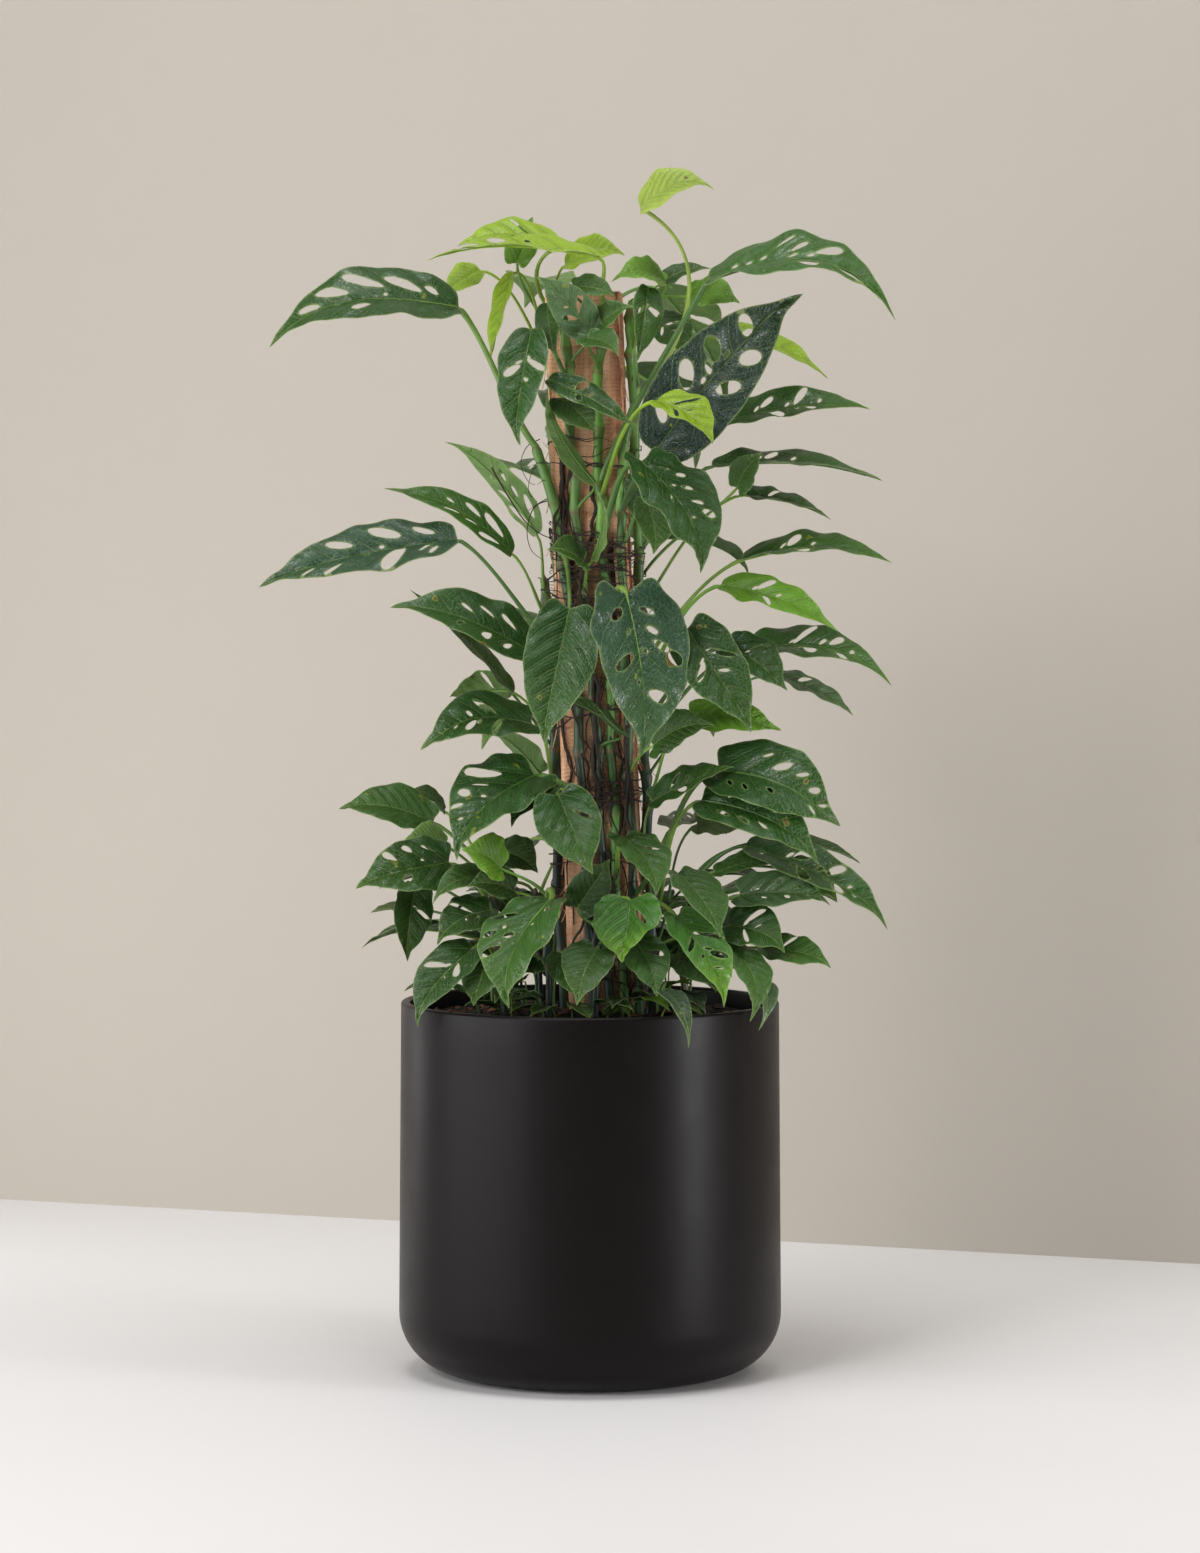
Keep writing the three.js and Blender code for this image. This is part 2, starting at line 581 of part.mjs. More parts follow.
// Where a leaf would cross what is already there, its blade is bent clear: moved by the first of
// these steps, [towards the rear, up], that leaves it free.
const BENDS = [[0, 0]];
for (const step of [7, 14, 21, 28, 35]) {
  BENDS.push([step, 0], [-step, 0], [step, step / 2], [-step, -step / 2]);
  BENDS.push([step, -step / 2], [-step, step / 2], [0, step / 2], [0, -step / 2]);
}

const NEAR_STEM = 14; // leaves of one stem may join each other this close to it

const pot = planter();
const soil = pottingMix();
const stake = stakeSolid(0);
const placed = [pot, soil, stake].map((shape) => ({ shape, box: shape.boundingBox(), owner: "" }));

const meets = (a, b) => [0, 1, 2].every((i) => a.min[i] <= b.max[i] && b.min[i] <= a.max[i]);

// True if a solid crosses something placed, apart from its own stem and leaves close to it.
function crosses(shape, owner, root) {
  const box = shape.boundingBox();
  return placed.some((other) => {
    if (!meets(box, other.box) || (other.owner === owner && other.isStem)) return false;
    const common = shape.intersect(other.shape);
    if (common.isEmpty() || common.volume() < 1e-4) return false;
    if (other.owner !== owner) return true;
    const where = common.boundingBox();
    const far = [0, 1, 2].some((i) => Math.abs(where.min[i] - root.getComponent(i)) > NEAR_STEM
      || Math.abs(where.max[i] - root.getComponent(i)) > NEAR_STEM);
    return far;
  });
}

const stems = {};
for (const [name, { stem }] of Object.entries(plants)) {
  const radius = name.startsWith("shoot") ? SHOOT_RADIUS : STEM_RADIUS;
  stems[name] = tube(stemPath(stem, STEM_FOOT), radius, STEM_SIDES);
  placed.push({ shape: stems[name], box: stems[name].boundingBox(), owner: name, isStem: true });
}

const nodes = { planter: pot, stake };
let number = 0;
const stuck = [];
for (const [name, { stem, leaves }] of Object.entries(plants)) {
  const pieces = [stems[name]];
  leaves.forEach(([at, base, tip, wide, face, arch, holes, via], index) => {
    const root = onStem(stem, at);
    const outward = vec(base).sub(root).setZ(0).normalize();
    const phase = 2.4 * number++;
    let free;
    for (const [back, up] of BENDS) {
      const shift = (p) => [p[0], p[1] + back, p[2] + up];
      const leaf = { base: shift(base), tip: shift(tip), wide, face, arch, holes, via, phase };
      const shape = leafSolid(leaf, root, outward);
      if (!crosses(shape, name, root)) {
        free = shape;
        break;
      }
    }
    if (!free) {
      stuck.push(`${name} ${index}`);
      return;
    }
    pieces.push(free);
    placed.push({ shape: free, box: free.boundingBox(), owner: name });
  });
  nodes[name] = wasm.Manifold.union(pieces);
}
if (stuck.length) throw new Error("no free place for " + stuck.join(", "));

// The soil has a plain hole for the stake and for each stem.
let mix = soil.subtract(stakeSolid(GAP));
for (const [name, { stem }] of Object.entries(plants)) {
  const radius = (name.startsWith("shoot") ? SHOOT_RADIUS : STEM_RADIUS) + GAP * 1.2;
  const hole = stemPath(stem, STEM_FOOT - GAP).slice(0, 2);
  mix = mix.subtract(tube(hole, radius, STEM_SIDES));
}
nodes.potting_mix = mix;

// ---- meshes -------------------------------------------------------------------------------

const FINISHES = {
  planter: { color: 0x2a2728, roughness: 0.45 },
  potting_mix: { color: 0x2b1d14, roughness: 0.95 },
  stake: { color: 0x9a6545, roughness: 0.85 },
  leaf: { color: 0x2f5a2c, roughness: 0.4 },
};

const group = new THREE.Group();
for (const [name, shape] of Object.entries(nodes)) {
  const mesh = shape.getMesh();
  const geometry = new THREE.BufferGeometry();
  geometry.setAttribute("position", new THREE.BufferAttribute(mesh.vertProperties, mesh.numProp));
  geometry.setIndex(new THREE.BufferAttribute(mesh.triVerts, 1));
  geometry.computeVertexNormals();
  const finish = FINISHES[name] ?? FINISHES.leaf;
  const piece = new THREE.Mesh(geometry, new THREE.MeshStandardMaterial({ metalness: 0, ...finish }));
  piece.name = name;
  group.add(piece);
}

export default group;
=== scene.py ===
# A swiss-cheese vine (Monstera adansonii) climbing a cedar stake in a dark satin planter.
# Metres in Blender; the sizes in this file are millimetres, +Z up, and -Y is the front.
import math

import bmesh
import bpy
import numpy as np
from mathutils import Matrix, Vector, geometry, noise


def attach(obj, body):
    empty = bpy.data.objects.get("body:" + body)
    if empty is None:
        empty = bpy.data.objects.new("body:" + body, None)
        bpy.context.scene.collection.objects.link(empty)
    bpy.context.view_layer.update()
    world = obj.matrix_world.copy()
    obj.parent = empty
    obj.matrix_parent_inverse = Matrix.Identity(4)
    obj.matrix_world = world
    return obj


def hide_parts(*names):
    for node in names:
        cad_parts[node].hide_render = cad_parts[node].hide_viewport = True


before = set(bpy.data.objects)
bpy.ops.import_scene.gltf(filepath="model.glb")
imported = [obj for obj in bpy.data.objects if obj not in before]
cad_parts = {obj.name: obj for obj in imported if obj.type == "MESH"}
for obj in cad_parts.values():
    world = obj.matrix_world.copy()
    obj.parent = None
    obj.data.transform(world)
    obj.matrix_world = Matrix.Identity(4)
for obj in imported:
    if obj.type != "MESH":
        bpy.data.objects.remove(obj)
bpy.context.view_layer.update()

# ---- the studio -----------------------------------------------------------------------------
# A pale painted table in front of a warm grey backdrop, with large soft boxes round it. The
# backdrop has no back: seen from behind, the camera looks through it.

scene = bpy.context.scene
scene.view_settings.view_transform = "Standard"


def tone(code):
    """A colour given as red, green and blue from 0 to 255, as linear light."""
    parts = [(code >> shift & 255) / 255 for shift in (16, 8, 0)]
    return tuple(c / 12.92 if c < 0.04 else ((c + 0.055) / 1.055) ** 2.4 for c in parts) + (1.0,)


def feed(tree, socket, value):
    """Links a socket to another node's output, or sets it to a plain value."""
    if isinstance(value, bpy.types.NodeSocket):
        tree.links.new(value, socket)
    else:
        socket.default_value = value


def node(tree, kind, settings=None, **sockets):
    """A shader node. Sockets are given by name with _ for a space, or in_0, in_1 by number."""
    made = tree.nodes.new("ShaderNode" + kind)
    for name, value in (settings or {}).items():
        setattr(made, name, value)
    for name, value in sockets.items():
        key = int(name[3:]) if name.startswith("in_") else name.replace("_", " ")
        feed(tree, made.inputs[key], value)
    return made


def maths(tree, operation, a, b=0.0, c=0.0):
    return node(tree, "Math", {"operation": operation}, in_0=a, in_1=b, in_2=c).outputs[0]


def mixed(tree, share, a, b, how="MIX"):
    """Colour a going over to colour b by a share."""
    settings = {"data_type": "RGBA", "blend_type": how}
    return node(tree, "Mix", settings, in_0=share, in_6=a, in_7=b).outputs[2]


def ramp(tree, value, low, high, to_low=0.0, to_high=1.0):
    """A value's range from low to high, spread smoothly over another range."""
    settings = {"interpolation_type": "SMOOTHSTEP"}
    ends = {"in_1": low, "in_2": high, "in_3": to_low, "in_4": to_high}
    return node(tree, "MapRange", settings, in_0=value, **ends).outputs[0]


# Slow and fine unevenness that every surface here has: a mottling of its colour round 1, and a
# height for its bump. Size is that of the larger patches.
mottle = bpy.data.node_groups.new("mottle", "ShaderNodeTree")
for label, kind in (("Where", "Vector"), ("Size", "Float"), ("Depth", "Float")):
    mottle.interface.new_socket(label, in_out="INPUT", socket_type="NodeSocket" + kind)
for label in ("Shade", "Height"):
    mottle.interface.new_socket(label, in_out="OUTPUT", socket_type="NodeSocketFloat")
given = mottle.nodes.new("NodeGroupInput").outputs
often = maths(mottle, "DIVIDE", 1.0, given["Size"])
oftener = maths(mottle, "MULTIPLY", often, 7.3)
patches = node(mottle, "TexNoise", Vector=given["Where"], Scale=often, Detail=3.0, Roughness=0.55)
grains = node(mottle, "TexNoise", Vector=given["Where"], Scale=oftener, Detail=2.0)
patch = maths(mottle, "MULTIPLY", patches.outputs[0], 0.7)
both = maths(mottle, "MULTIPLY_ADD", grains.outputs[0], 0.3, patch)
swing = maths(mottle, "MULTIPLY", maths(mottle, "SUBTRACT", both, 0.5), given["Depth"])
taken = mottle.nodes.new("NodeGroupOutput").inputs
mottle.links.new(maths(mottle, "MULTIPLY_ADD", swing, 2.0, 1.0), taken["Shade"])
mottle.links.new(both, taken["Height"])


def mottled(tree, where, size, depth):
    """The shade and the height of a mottled surface."""
    made = node(tree, "Group", {"node_tree": mottle}, Where=where, Size=size, Depth=depth)
    return made.outputs["Shade"], made.outputs["Height"]


def shaded(tree, colour, shade):
    """A colour multiplied by a shade."""
    grey = node(tree, "CombineColor", in_0=shade, in_1=shade, in_2=shade).outputs[0]
    return mixed(tree, 1.0, colour, grey, "MULTIPLY")


def new_material(name):
    """A new material and its nodes."""
    made = bpy.data.materials.new(name)
    made.use_nodes = True
    return made, made.node_tree


def placed(tree):
    """The place on the piece that a material's patterns start from."""
    return node(tree, "TexCoord").outputs["Object"]


def dress(tree, colour, rough, strength=0.0, distance=0.0, height=None):
    """Gives a material's Principled shader its colour, its roughness and its bump."""
    shader = tree.nodes["Principled BSDF"]
    feed(tree, shader.inputs["Base Color"], colour)
    feed(tree, shader.inputs["Roughness"], rough)
    if height is not None:
        bump = node(tree, "Bump", Strength=strength, Distance=distance, Height=height)
        feed(tree, shader.inputs["Normal"], bump.outputs[0])
    return shader


def put_out(tree, share, shader, other):
    """Makes a material's surface a mix of its Principled shader and another one."""
    both = node(tree, "MixShader", in_0=share, in_1=shader.outputs[0], in_2=other.outputs[0])
    tree.links.new(both.outputs[0], tree.nodes["Material Output"].inputs["Surface"])


MARK_KINDS = {1: ("FLOAT", "value"), 3: ("FLOAT_VECTOR", "vector"), 4: ("FLOAT_COLOR", "color")}


def make_piece(name, points, faces, materials, slot=None, nodes=(), which=None, marks=None,
               crease=None):
    """A mesh piece of the plant, from points in millimetres. which is each face's material, and
    marks are values kept at its points for the materials to read."""
    mesh = bpy.data.meshes.new(name)
    mesh.from_pydata((np.asarray(points, float) / 1000).tolist(), [], faces)
    for material in materials:
        mesh.materials.append(material)
    if which is not None:
        mesh.polygons.foreach_set("material_index", which)
    for label, values in (marks or {}).items():
        values = np.asarray(values, np.float32)
        kind, field = MARK_KINDS[1 if values.ndim == 1 else values.shape[1]]
        mesh.attributes.new(label, kind, "POINT").data.foreach_set(field, values.ravel())
    mesh.shade_smooth()
    if crease:
        mesh.set_sharp_from_angle(angle=math.radians(crease))
    mesh.update()
    piece = bpy.data.objects.new(name, mesh)
    scene.collection.objects.link(piece)
    if slot:
        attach(piece, "root")
        if nodes:
            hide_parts(*nodes)
    return piece


CAMERA = {"place": (0.008, -3.8, 0.65), "look_down": 2.59, "lens": 109.8}
camera = bpy.data.objects.new("camera", bpy.data.cameras.new("camera"))
camera.location = CAMERA["place"]
camera.rotation_euler = (math.pi / 2 - math.radians(CAMERA["look_down"]), 0, 0)
camera.data.lens = CAMERA["lens"]
scene.collection.objects.link(camera)
scene.camera = camera

TABLE = {"reach": 6000, "level": -0.4}
paint, tree = new_material("table_paint")
where = placed(tree)
shade, _ = mottled(tree, where, 0.25, 0.02)
dress(tree, shaded(tree, tone(0xDFDEDF), shade), 0.62)
signs = ((-1, -1), (1, -1), (1, 1), (-1, 1))
corners = [(x * TABLE["reach"], y * TABLE["reach"], TABLE["level"]) for x, y in signs]
table_top = make_piece("table_top", corners, [(0, 1, 2, 3)], [paint])

WALL = {"left": (-2400, 1706), "right": (1700, 134), "foot": -1, "top": 3000}
paper, tree = new_material("backdrop_paint")
where = placed(tree)
shade, _ = mottled(tree, where, 0.6, 0.03)
# Painted shade: the backdrop's colour is darkened towards the right, to stand in for the light
# falling off there.
sideways = node(tree, "SeparateXYZ", Vector=where).outputs["X"]
shade = maths(tree, "MULTIPLY", shade, ramp(tree, sideways, -0.9, 1.5, 0.87, 0.74))
shader = dress(tree, shaded(tree, tone(0xBAB3A9), shade), 0.9)
back_side = node(tree, "NewGeometry").outputs["Backfacing"]
put_out(tree, back_side, shader, node(tree, "BsdfTransparent"))
ends = (("left", "foot"), ("right", "foot"), ("right", "top"), ("left", "top"))
corners = [(*WALL[end], WALL[level]) for end, level in ends]
backdrop = make_piece("backdrop", corners, [(0, 1, 2, 3)], [paper])

world = bpy.data.worlds.new("studio")
world.use_nodes = True
world.node_tree.nodes["Background"].inputs["Color"].default_value = tone(0xD2C9BE)
world.node_tree.nodes["Background"].inputs["Strength"].default_value = 0.3
scene.world = world

# Each soft box: its place, its width and height, its watts, and what it is aimed at.
SOFT_BOXES = {
    "box_above": ((-0.2, -0.6, 3.0), 1.4, 1.2, 38, (0, 0, 0.5)),
    "box_front_left": ((-1.7, -2.7, 2.4), 0.9, 0.9, 46, (0, 0, 0.5)),
    "box_left": ((-1.95, -0.9, 0.5), 2.2, 0.9, 31, (0, 0, 0.4)),
    "box_edge": ((-1.0, 0.6, 0.3), 0.3, 0.5, 1.2, (0, 0, 0.15)),
    "box_right": ((1.74, -0.88, 0.34), 0.45, 0.62, 18, (0, 0, 0.35)),
    "box_wall": ((1.5, -0.5, 2.3), 0.9, 0.9, 8, (0.9, 0.5, 0.4)),
}
for name, (place, wide, tall, watts, aim) in SOFT_BOXES.items():
    lamp = bpy.data.lights.new(name, "AREA")
    lamp.shape = "RECTANGLE"
    lamp.size, lamp.size_y, lamp.energy = wide, tall, watts
    made = bpy.data.objects.new(name, lamp)
    made.location = place
    made.rotation_euler = (Vector(aim) - Vector(place)).to_track_quat("-Z", "Y").to_euler()
    scene.collection.objects.link(made)

# ---- the planter ----------------------------------------------------------------------------
# A slip-cast stoneware pot with a straight wall, a rounded rim and a generous curve at its foot,
# in a near-black satin glaze. It stands on its flat underside.

POT = {"rim": 152, "foot": 154, "height": 298, "curve": 48, "wall": 7, "lip": 2.5, "floor": 11}
POT_SEGMENTS = 180


def ring_faces(rings, count, first=0, inward=False):
    """The faces between rings of points that follow one another."""
    turn = [(i, (i + 1) % count) for i in range(count)]
    turn = [(j, i) for i, j in turn] if inward else turn
    lows = range(first, first + (rings - 1) * count, count)
    return [(low + i, low + j, low + count + j, low + count + i) for low in lows for i, j in turn]


def domed_faces(rings, count):
    """The faces of a closed form: a point, rings of points and a last point."""
    last = 1 + (rings - 1) * count
    turn = [(i, (i + 1) % count) for i in range(count)]
    under = [(0, 1 + j, 1 + i) for i, j in turn]
    over = [(last + i, last + j, last + count) for i, j in turn]
    return under + ring_faces(rings, count, 1) + over


def arc(r, z, radius, start, end, steps):
    """Points of an arc in a profile, from one angle to another in degrees."""
    angles = np.radians(np.linspace(start, end, steps + 1))
    return [(r + radius * math.cos(a), z + radius * math.sin(a)) for a in angles]


def turned(profile, segments):
    """A profile of (radius, height), from the axis to the axis, turned on the wheel."""
    around = np.linspace(0, 2 * math.pi, segments, endpoint=False)
    points = [(0, 0, profile[0][1])]
    points += [(r * math.cos(a), r * math.sin(a), z) for r, z in profile[1:-1] for a in around]
    points.append((0, 0, profile[-1][1]))
    return points, domed_faces(len(profile) - 2, segments)


def planter_profile():
    """The pot's section: up the outside, over the rim, and down the inside to its floor."""
    rim, foot, height, curve = POT["rim"], POT["foot"], POT["height"], POT["curve"]
    wall, lip, floor = POT["wall"], POT["lip"], POT["floor"]
    heights = np.linspace(curve, height - lip, 10)[1:-1]
    outside = [(foot + (rim - foot) * (z - curve) / (height - lip - curve), z) for z in heights]
    inside = [(r - wall, z) for r, z in reversed(outside)]
    return [
        (0, 0), (foot * 0.5, 0), *arc(foot - curve, curve, curve, -90, 0, 16), *outside,
        *arc(rim - lip, height - lip, lip, 0, 90, 6),
        *arc(rim - wall + lip, height - lip, lip, 90, 180, 6), *inside,
        *arc(foot - curve, curve, curve - wall, 0, -60, 8), (foot * 0.5, floor), (0, floor),
    ]


glaze, tree = new_material("satin_glaze")
where = placed(tree)
shade, height = mottled(tree, where, 0.035, 0.12)
_, pitting = mottled(tree, where, 0.0022, 0.2)
relief = maths(tree, "MULTIPLY_ADD", pitting, 0.25, height)
rough = ramp(tree, height, 0.3, 0.7, 0.34, 0.4)
shader = dress(tree, shaded(tree, tone(0x0E0A0B), shade), rough, 0.25, 0.0004, relief)
shader.inputs["Specular IOR Level"].default_value = 0.135
pot = turned(planter_profile(), POT_SEGMENTS)
make_piece("planter_pot", *pot, [glaze], "planter", ["planter"], crease=40)

# ---- the potting mix ------------------------------------------------------------------------
# Dark damp peat and composted bark, heaped a little towards the middle, with loose chips of bark
# and crumbs of peat lying on it.

MIX = {"radius": 144, "edge": 285, "mound": 7, "bottom": 11.3, "foot": 104, "foot_top": 50}
MIX_RINGS, MIX_SEGMENTS = 56, 200
CHIPS, CHIP_POINTS = 1300, 11
BARK_SHADES = (0x36261C, 0x1A130F, 0x4E3425, 0x120E0C, 0x271B15, 0x70492F)
rng = np.random.default_rng(11)
draw = rng.uniform


def lumps(x, y, z, size):
    """Unevenness from -1 to 1 with features of a given size in millimetres."""
    return noise.noise(Vector((x, y, z)) / size)


def mix_height(x, y):
    """How high the mix lies at a place: heaped and lumpy, and smoother by the pot's wall."""
    share = math.hypot(x, y) / MIX["radius"]
    heap = MIX["mound"] * (1 - share) if share > 0.6 else MIX["mound"] * (1 - share * 0.5)
    rough = 2.6 * lumps(x, y, 3, 22) + 1.6 * lumps(x, y, 7, 8) + 1.1 * lumps(x, y, 1, 3.4)
    return MIX["edge"] + heap * 0.9 + rough * (1 - 0.6 * share**6) - 1.5


def mix_bed():
    """The whole body of the mix, from the pot's floor up to its lumpy top."""
    radii = MIX["radius"] * np.linspace(0, 1, MIX_RINGS + 1)[1:] ** 0.9
    around = np.linspace(0, 2 * math.pi, MIX_SEGMENTS, endpoint=False)
    circle = [(math.cos(a), math.sin(a)) for a in around]
    points = [(0, 0, MIX["bottom"])]
    for r, z in ((MIX["foot"], MIX["bottom"]), (MIX["radius"], MIX["foot_top"])):
        points += [(r * x, r * y, z) for x, y in circle]
    for r in reversed(radii):
        points += [(r * x, r * y, mix_height(r * x, r * y)) for x, y in circle]
    points.append((0, 0, mix_height(0, 0)))
    return points, domed_faces(MIX_RINGS + 2, MIX_SEGMENTS)


peat, tree = new_material("damp_peat")
where = placed(tree)
shade, height = mottled(tree, where, 0.012, 0.9)
fibres = node(tree, "TexVoronoi", {"feature": "F1"}, Vector=where, Scale=420.0)
crumbs = ramp(tree, fibres.outputs["Distance"], 0.1, 0.7)
brown = mixed(tree, crumbs, tone(0x2A1F18), tone(0x0D0B0A))
relief = maths(tree, "SUBTRACT", height, crumbs)
dress(tree, shaded(tree, brown, shade), 0.88, 0.8, 0.0015, relief)
make_piece("potting_mix_bed", *mix_bed(), [peat], "potting_mix", ["potting_mix"])


def chips(count):
    """Bark chips and crumbs lying on the mix: the hulls of flat handfuls of points."""
    points, faces, tints = [], [], []
    shades = [tone(code) for code in BARK_SHADES]
    for k in range(count):
        size = draw(4, 9) if k % 3 == 0 else draw(1.5, 4)
        r = (MIX["radius"] - size - 2) * math.sqrt(draw(0.0, 1.0))
        a = draw(0, 2 * math.pi)
        x, y = r * math.cos(a), r * math.sin(a)
        stretch = np.array([size, size * draw(0.35, 0.75), size * draw(0.14, 0.32)])
        cloud = draw(-1, 1, (CHIP_POINTS, 3)) * stretch
        lean, spin = draw(-0.35, 0.35), draw(0, 2 * math.pi)
        c, s, ct, st = math.cos(spin), math.sin(spin), math.cos(lean), math.sin(lean)
        leaned = cloud @ np.array([[1, 0, 0], [0, ct, st], [0, -st, ct]])
        cloud = leaned @ np.array([[c, s, 0], [-s, c, 0], [0, 0, 1]])
        cloud += (x, y, mix_height(x, y) + stretch[2] * 0.7)
        hull = bmesh.new()
        for p in cloud:
            hull.verts.new(p)
        bmesh.ops.convex_hull(hull, input=hull.verts)
        loose = [v for v in hull.verts if not v.link_faces]
        bmesh.ops.delete(hull, geom=loose, context="VERTS")
        hull.verts.index_update()
        first = len(points)
        points += [tuple(v.co) for v in hull.verts]
        faces += [tuple(first + v.index for v in f.verts) for f in hull.faces]
        tints += [shades[rng.integers(len(shades))]] * len(hull.verts)
        hull.free()
    return points, faces, tints


def attribute(tree, name):
    """The outputs of the values kept at a mesh's points under a name."""
    return node(tree, "Attribute", {"attribute_name": name}).outputs


bark, tree = new_material("bark_chip")
where = placed(tree)
shade, height = mottled(tree, where, 0.006, 0.8)
tint = attribute(tree, "tint")["Color"]
dress(tree, shaded(tree, tint, shade), 0.85, 0.6, 0.0008, height)
points, faces, tints = chips(CHIPS)
make_piece("bark_chips", points, faces, [bark], "potting_mix", marks={"tint": tints}, crease=25)

# ---- the stake ------------------------------------------------------------------------------
# A rough-sawn cedar board, leaning a little to the left, driven into the mix before the vines
# were planted round it. The right edge of its face is waney, and strings of fibre hang off both.

STAKE = {"wide": 62, "thick": 36, "top": 866, "foot": 70, "left_at_top": -36, "lean": 0.0337}
WANEY = {"from": 44, "over": 18, "deep": 4.2}
ALONG_SECTION, ALONG_BOARD = 2.0, 5.0
SPLINTERS, SPLINTER_STEPS = 46, 7


def stake_left(z):
    """Where the board's left edge is at a height."""
    return STAKE["left_at_top"] + (STAKE["top"] - z) * STAKE["lean"]


def stake_point(along, z):
    """The point of the board's skin at a distance round its section, from its front left corner."""
    wide, thick = STAKE["wide"], STAKE["thick"]
    along %= 2 * (wide + thick)
    if along < wide:
        x, y, out = along, -thick / 2, (0, -1)
    elif along < wide + thick:
        x, y, out = wide, along - wide - thick / 2, (1, 0)
    elif along < 2 * wide + thick:
        x, y, out = 2 * wide + thick - along, thick / 2, (0, 1)
    else:
        x, y, out = 0, 2 * wide + 1.5 * thick - along, (-1, 0)
    corner = min(x, wide - x) + min(y + thick / 2, thick / 2 - y)
    streaks = 0.9 * lumps(x, y, z * 0.05, 5) + 0.5 * lumps(x, y, z * 0.09, 2.2)
    saw = 0.22 * math.sin(z * 0.9 + 3 * lumps(x, y, z, 60)) * (0.5 + lumps(x, y, z, 40))
    torn = 1.8 * max(0, lumps(x, y, z, 26)) + 0.7 * lumps(x, y, z, 6)
    worn = 1.6 * math.exp(-corner / 1.4) * (1 + 0.8 * lumps(x, y, z, 14))
    waney = min(max((x - WANEY["from"]) / WANEY["over"], 0), 1) if y < 0 else 0
    sunk = 0.8 + 0.5 * streaks + saw + worn
    sunk += (WANEY["deep"] * waney**1.6 + torn * min(waney * 2, 1)) * (1 if out[1] < 0 else 0.4)
    sunk = max(sunk, 0.05)
    slope = (STAKE["top"] - z) * STAKE["lean"]
    return (STAKE["left_at_top"] + slope + x - out[0] * sunk, y - out[1] * sunk, z)


def board():
    """The board's skin in rings, and its two sawn ends."""
    section = np.arange(0, 2 * (STAKE["wide"] + STAKE["thick"]), ALONG_SECTION)
    rows = np.arange(STAKE["foot"], STAKE["top"] - 2, ALONG_BOARD)
    rows = np.append(rows, STAKE["top"] - 0.6)
    count = len(section)
    points = [stake_point(a, z) for z in rows for a in section]
    faces = ring_faces(len(rows), count)
    for first, height, up in ((0, STAKE["foot"], 0), ((len(rows) - 1) * count, STAKE["top"], 1)):
        middle = np.array([stake_left(height) + STAKE["wide"] / 2, 0, height - 0.8 * up])
        ring = list(range(first, first + count))
        for share in (0.9, 0.6, 0.3, 0.0):
            made = []
            for i in range(count if share else 1):
                p = middle + (np.array(points[first + i]) - middle) * (share, share, 0)
                p[2] += 0.5 * lumps(p[0], p[1], height, 4) * up
                made.append(len(points))
                points.append(tuple(p))
            for i in range(count):
                j = (i + 1) % count
                quad = (ring[i], ring[j], made[j % len(made)], made[i % len(made)])
                quad = quad if share else quad[:3]
                faces.append(quad if up else quad[::-1])
            ring = made
    return points, faces


def splinters(count):
    """Strings of torn fibre: thin tapering slivers that peel away from the board's edges."""
    points, faces = [], []
    for k in range(count):
        left = k % 3 > 0
        z = draw(320, 850)
        x = stake_left(z) + (0.5 if left else STAKE["wide"] - 0.5)
        y = -STAKE["thick"] / 2 + draw(0.5, 9)
        length, peel = draw(10, 44), draw(1.5, 7)
        wide, thick = draw(0.5, 2.0), 0.35
        out = -1 if left else 1
        down = -1 if draw() < 0.7 else 1
        first = len(points)
        for t in (i / SPLINTER_STEPS for i in range(SPLINTER_STEPS + 1)):
            cx = x + out * (peel * t**2.2 - 0.4)
            cy = y + draw(-0.2, 0.2) - t * 1.5
            cz = z + down * length * t
            w = wide * (1 - t) ** 0.7 + 0.1
            points += [(cx, cy - w, cz), (cx + out * thick, cy, cz)]
            points += [(cx, cy + w, cz), (cx - out * thick, cy, cz)]
        skin, last = ring_faces(SPLINTER_STEPS + 1, 4, first), len(points)
        ends = [(first, first + 3, first + 2, first + 1), tuple(range(last - 4, last))]
        faces += [face[:: out * down] for face in skin + ends]
    return points, faces


cedar, tree = new_material("sawn_cedar")
where = placed(tree)
long_grain = node(tree, "Mapping", Vector=where, Scale=(1.0, 1.0, 0.05)).outputs[0]
rings = node(tree, "TexNoise", Vector=long_grain, Scale=170.0, Detail=5.0, Roughness=0.6,
             Distortion=0.4).outputs[0]
fine = node(tree, "TexNoise", Vector=long_grain, Scale=900.0, Detail=3.0).outputs[0]
shade, _ = mottled(tree, where, 0.03, 0.5)
wood = mixed(tree, ramp(tree, rings, 0.36, 0.66), tone(0xDDA27C), tone(0xFFCFA8))
wood = mixed(tree, ramp(tree, fine, 0.52, 0.75, 0.0, 0.3), wood, tone(0x8E5E40))
place = node(tree, "SeparateXYZ", Vector=where)
slope = maths(tree, "MULTIPLY_ADD", place.outputs["Z"], STAKE["lean"], place.outputs["X"])
waney_from = (STAKE["left_at_top"] + WANEY["from"] + STAKE["top"] * STAKE["lean"]) / 1000
waney = ramp(tree, slope, waney_from, waney_from + 0.008, 0.0, 0.5)
wood = mixed(tree, waney, wood, tone(0x9A6446))
teeth = node(tree, "TexWave", {"bands_direction": "Z"}, Vector=where, Scale=95.0, Distortion=5.0,
             Detail=2.0, Detail_Scale=1.4).outputs["Fac"]
wood = mixed(tree, maths(tree, "MULTIPLY", teeth, 0.2), wood, tone(0xA9734F))
relief = maths(tree, "MULTIPLY_ADD", teeth, -0.5, maths(tree, "ADD", rings, fine))
dress(tree, shaded(tree, wood, shade), 0.8, 0.8, 0.0008, relief)
make_piece("stake_board", *board(), [cedar], "stake", ["stake"], crease=60)
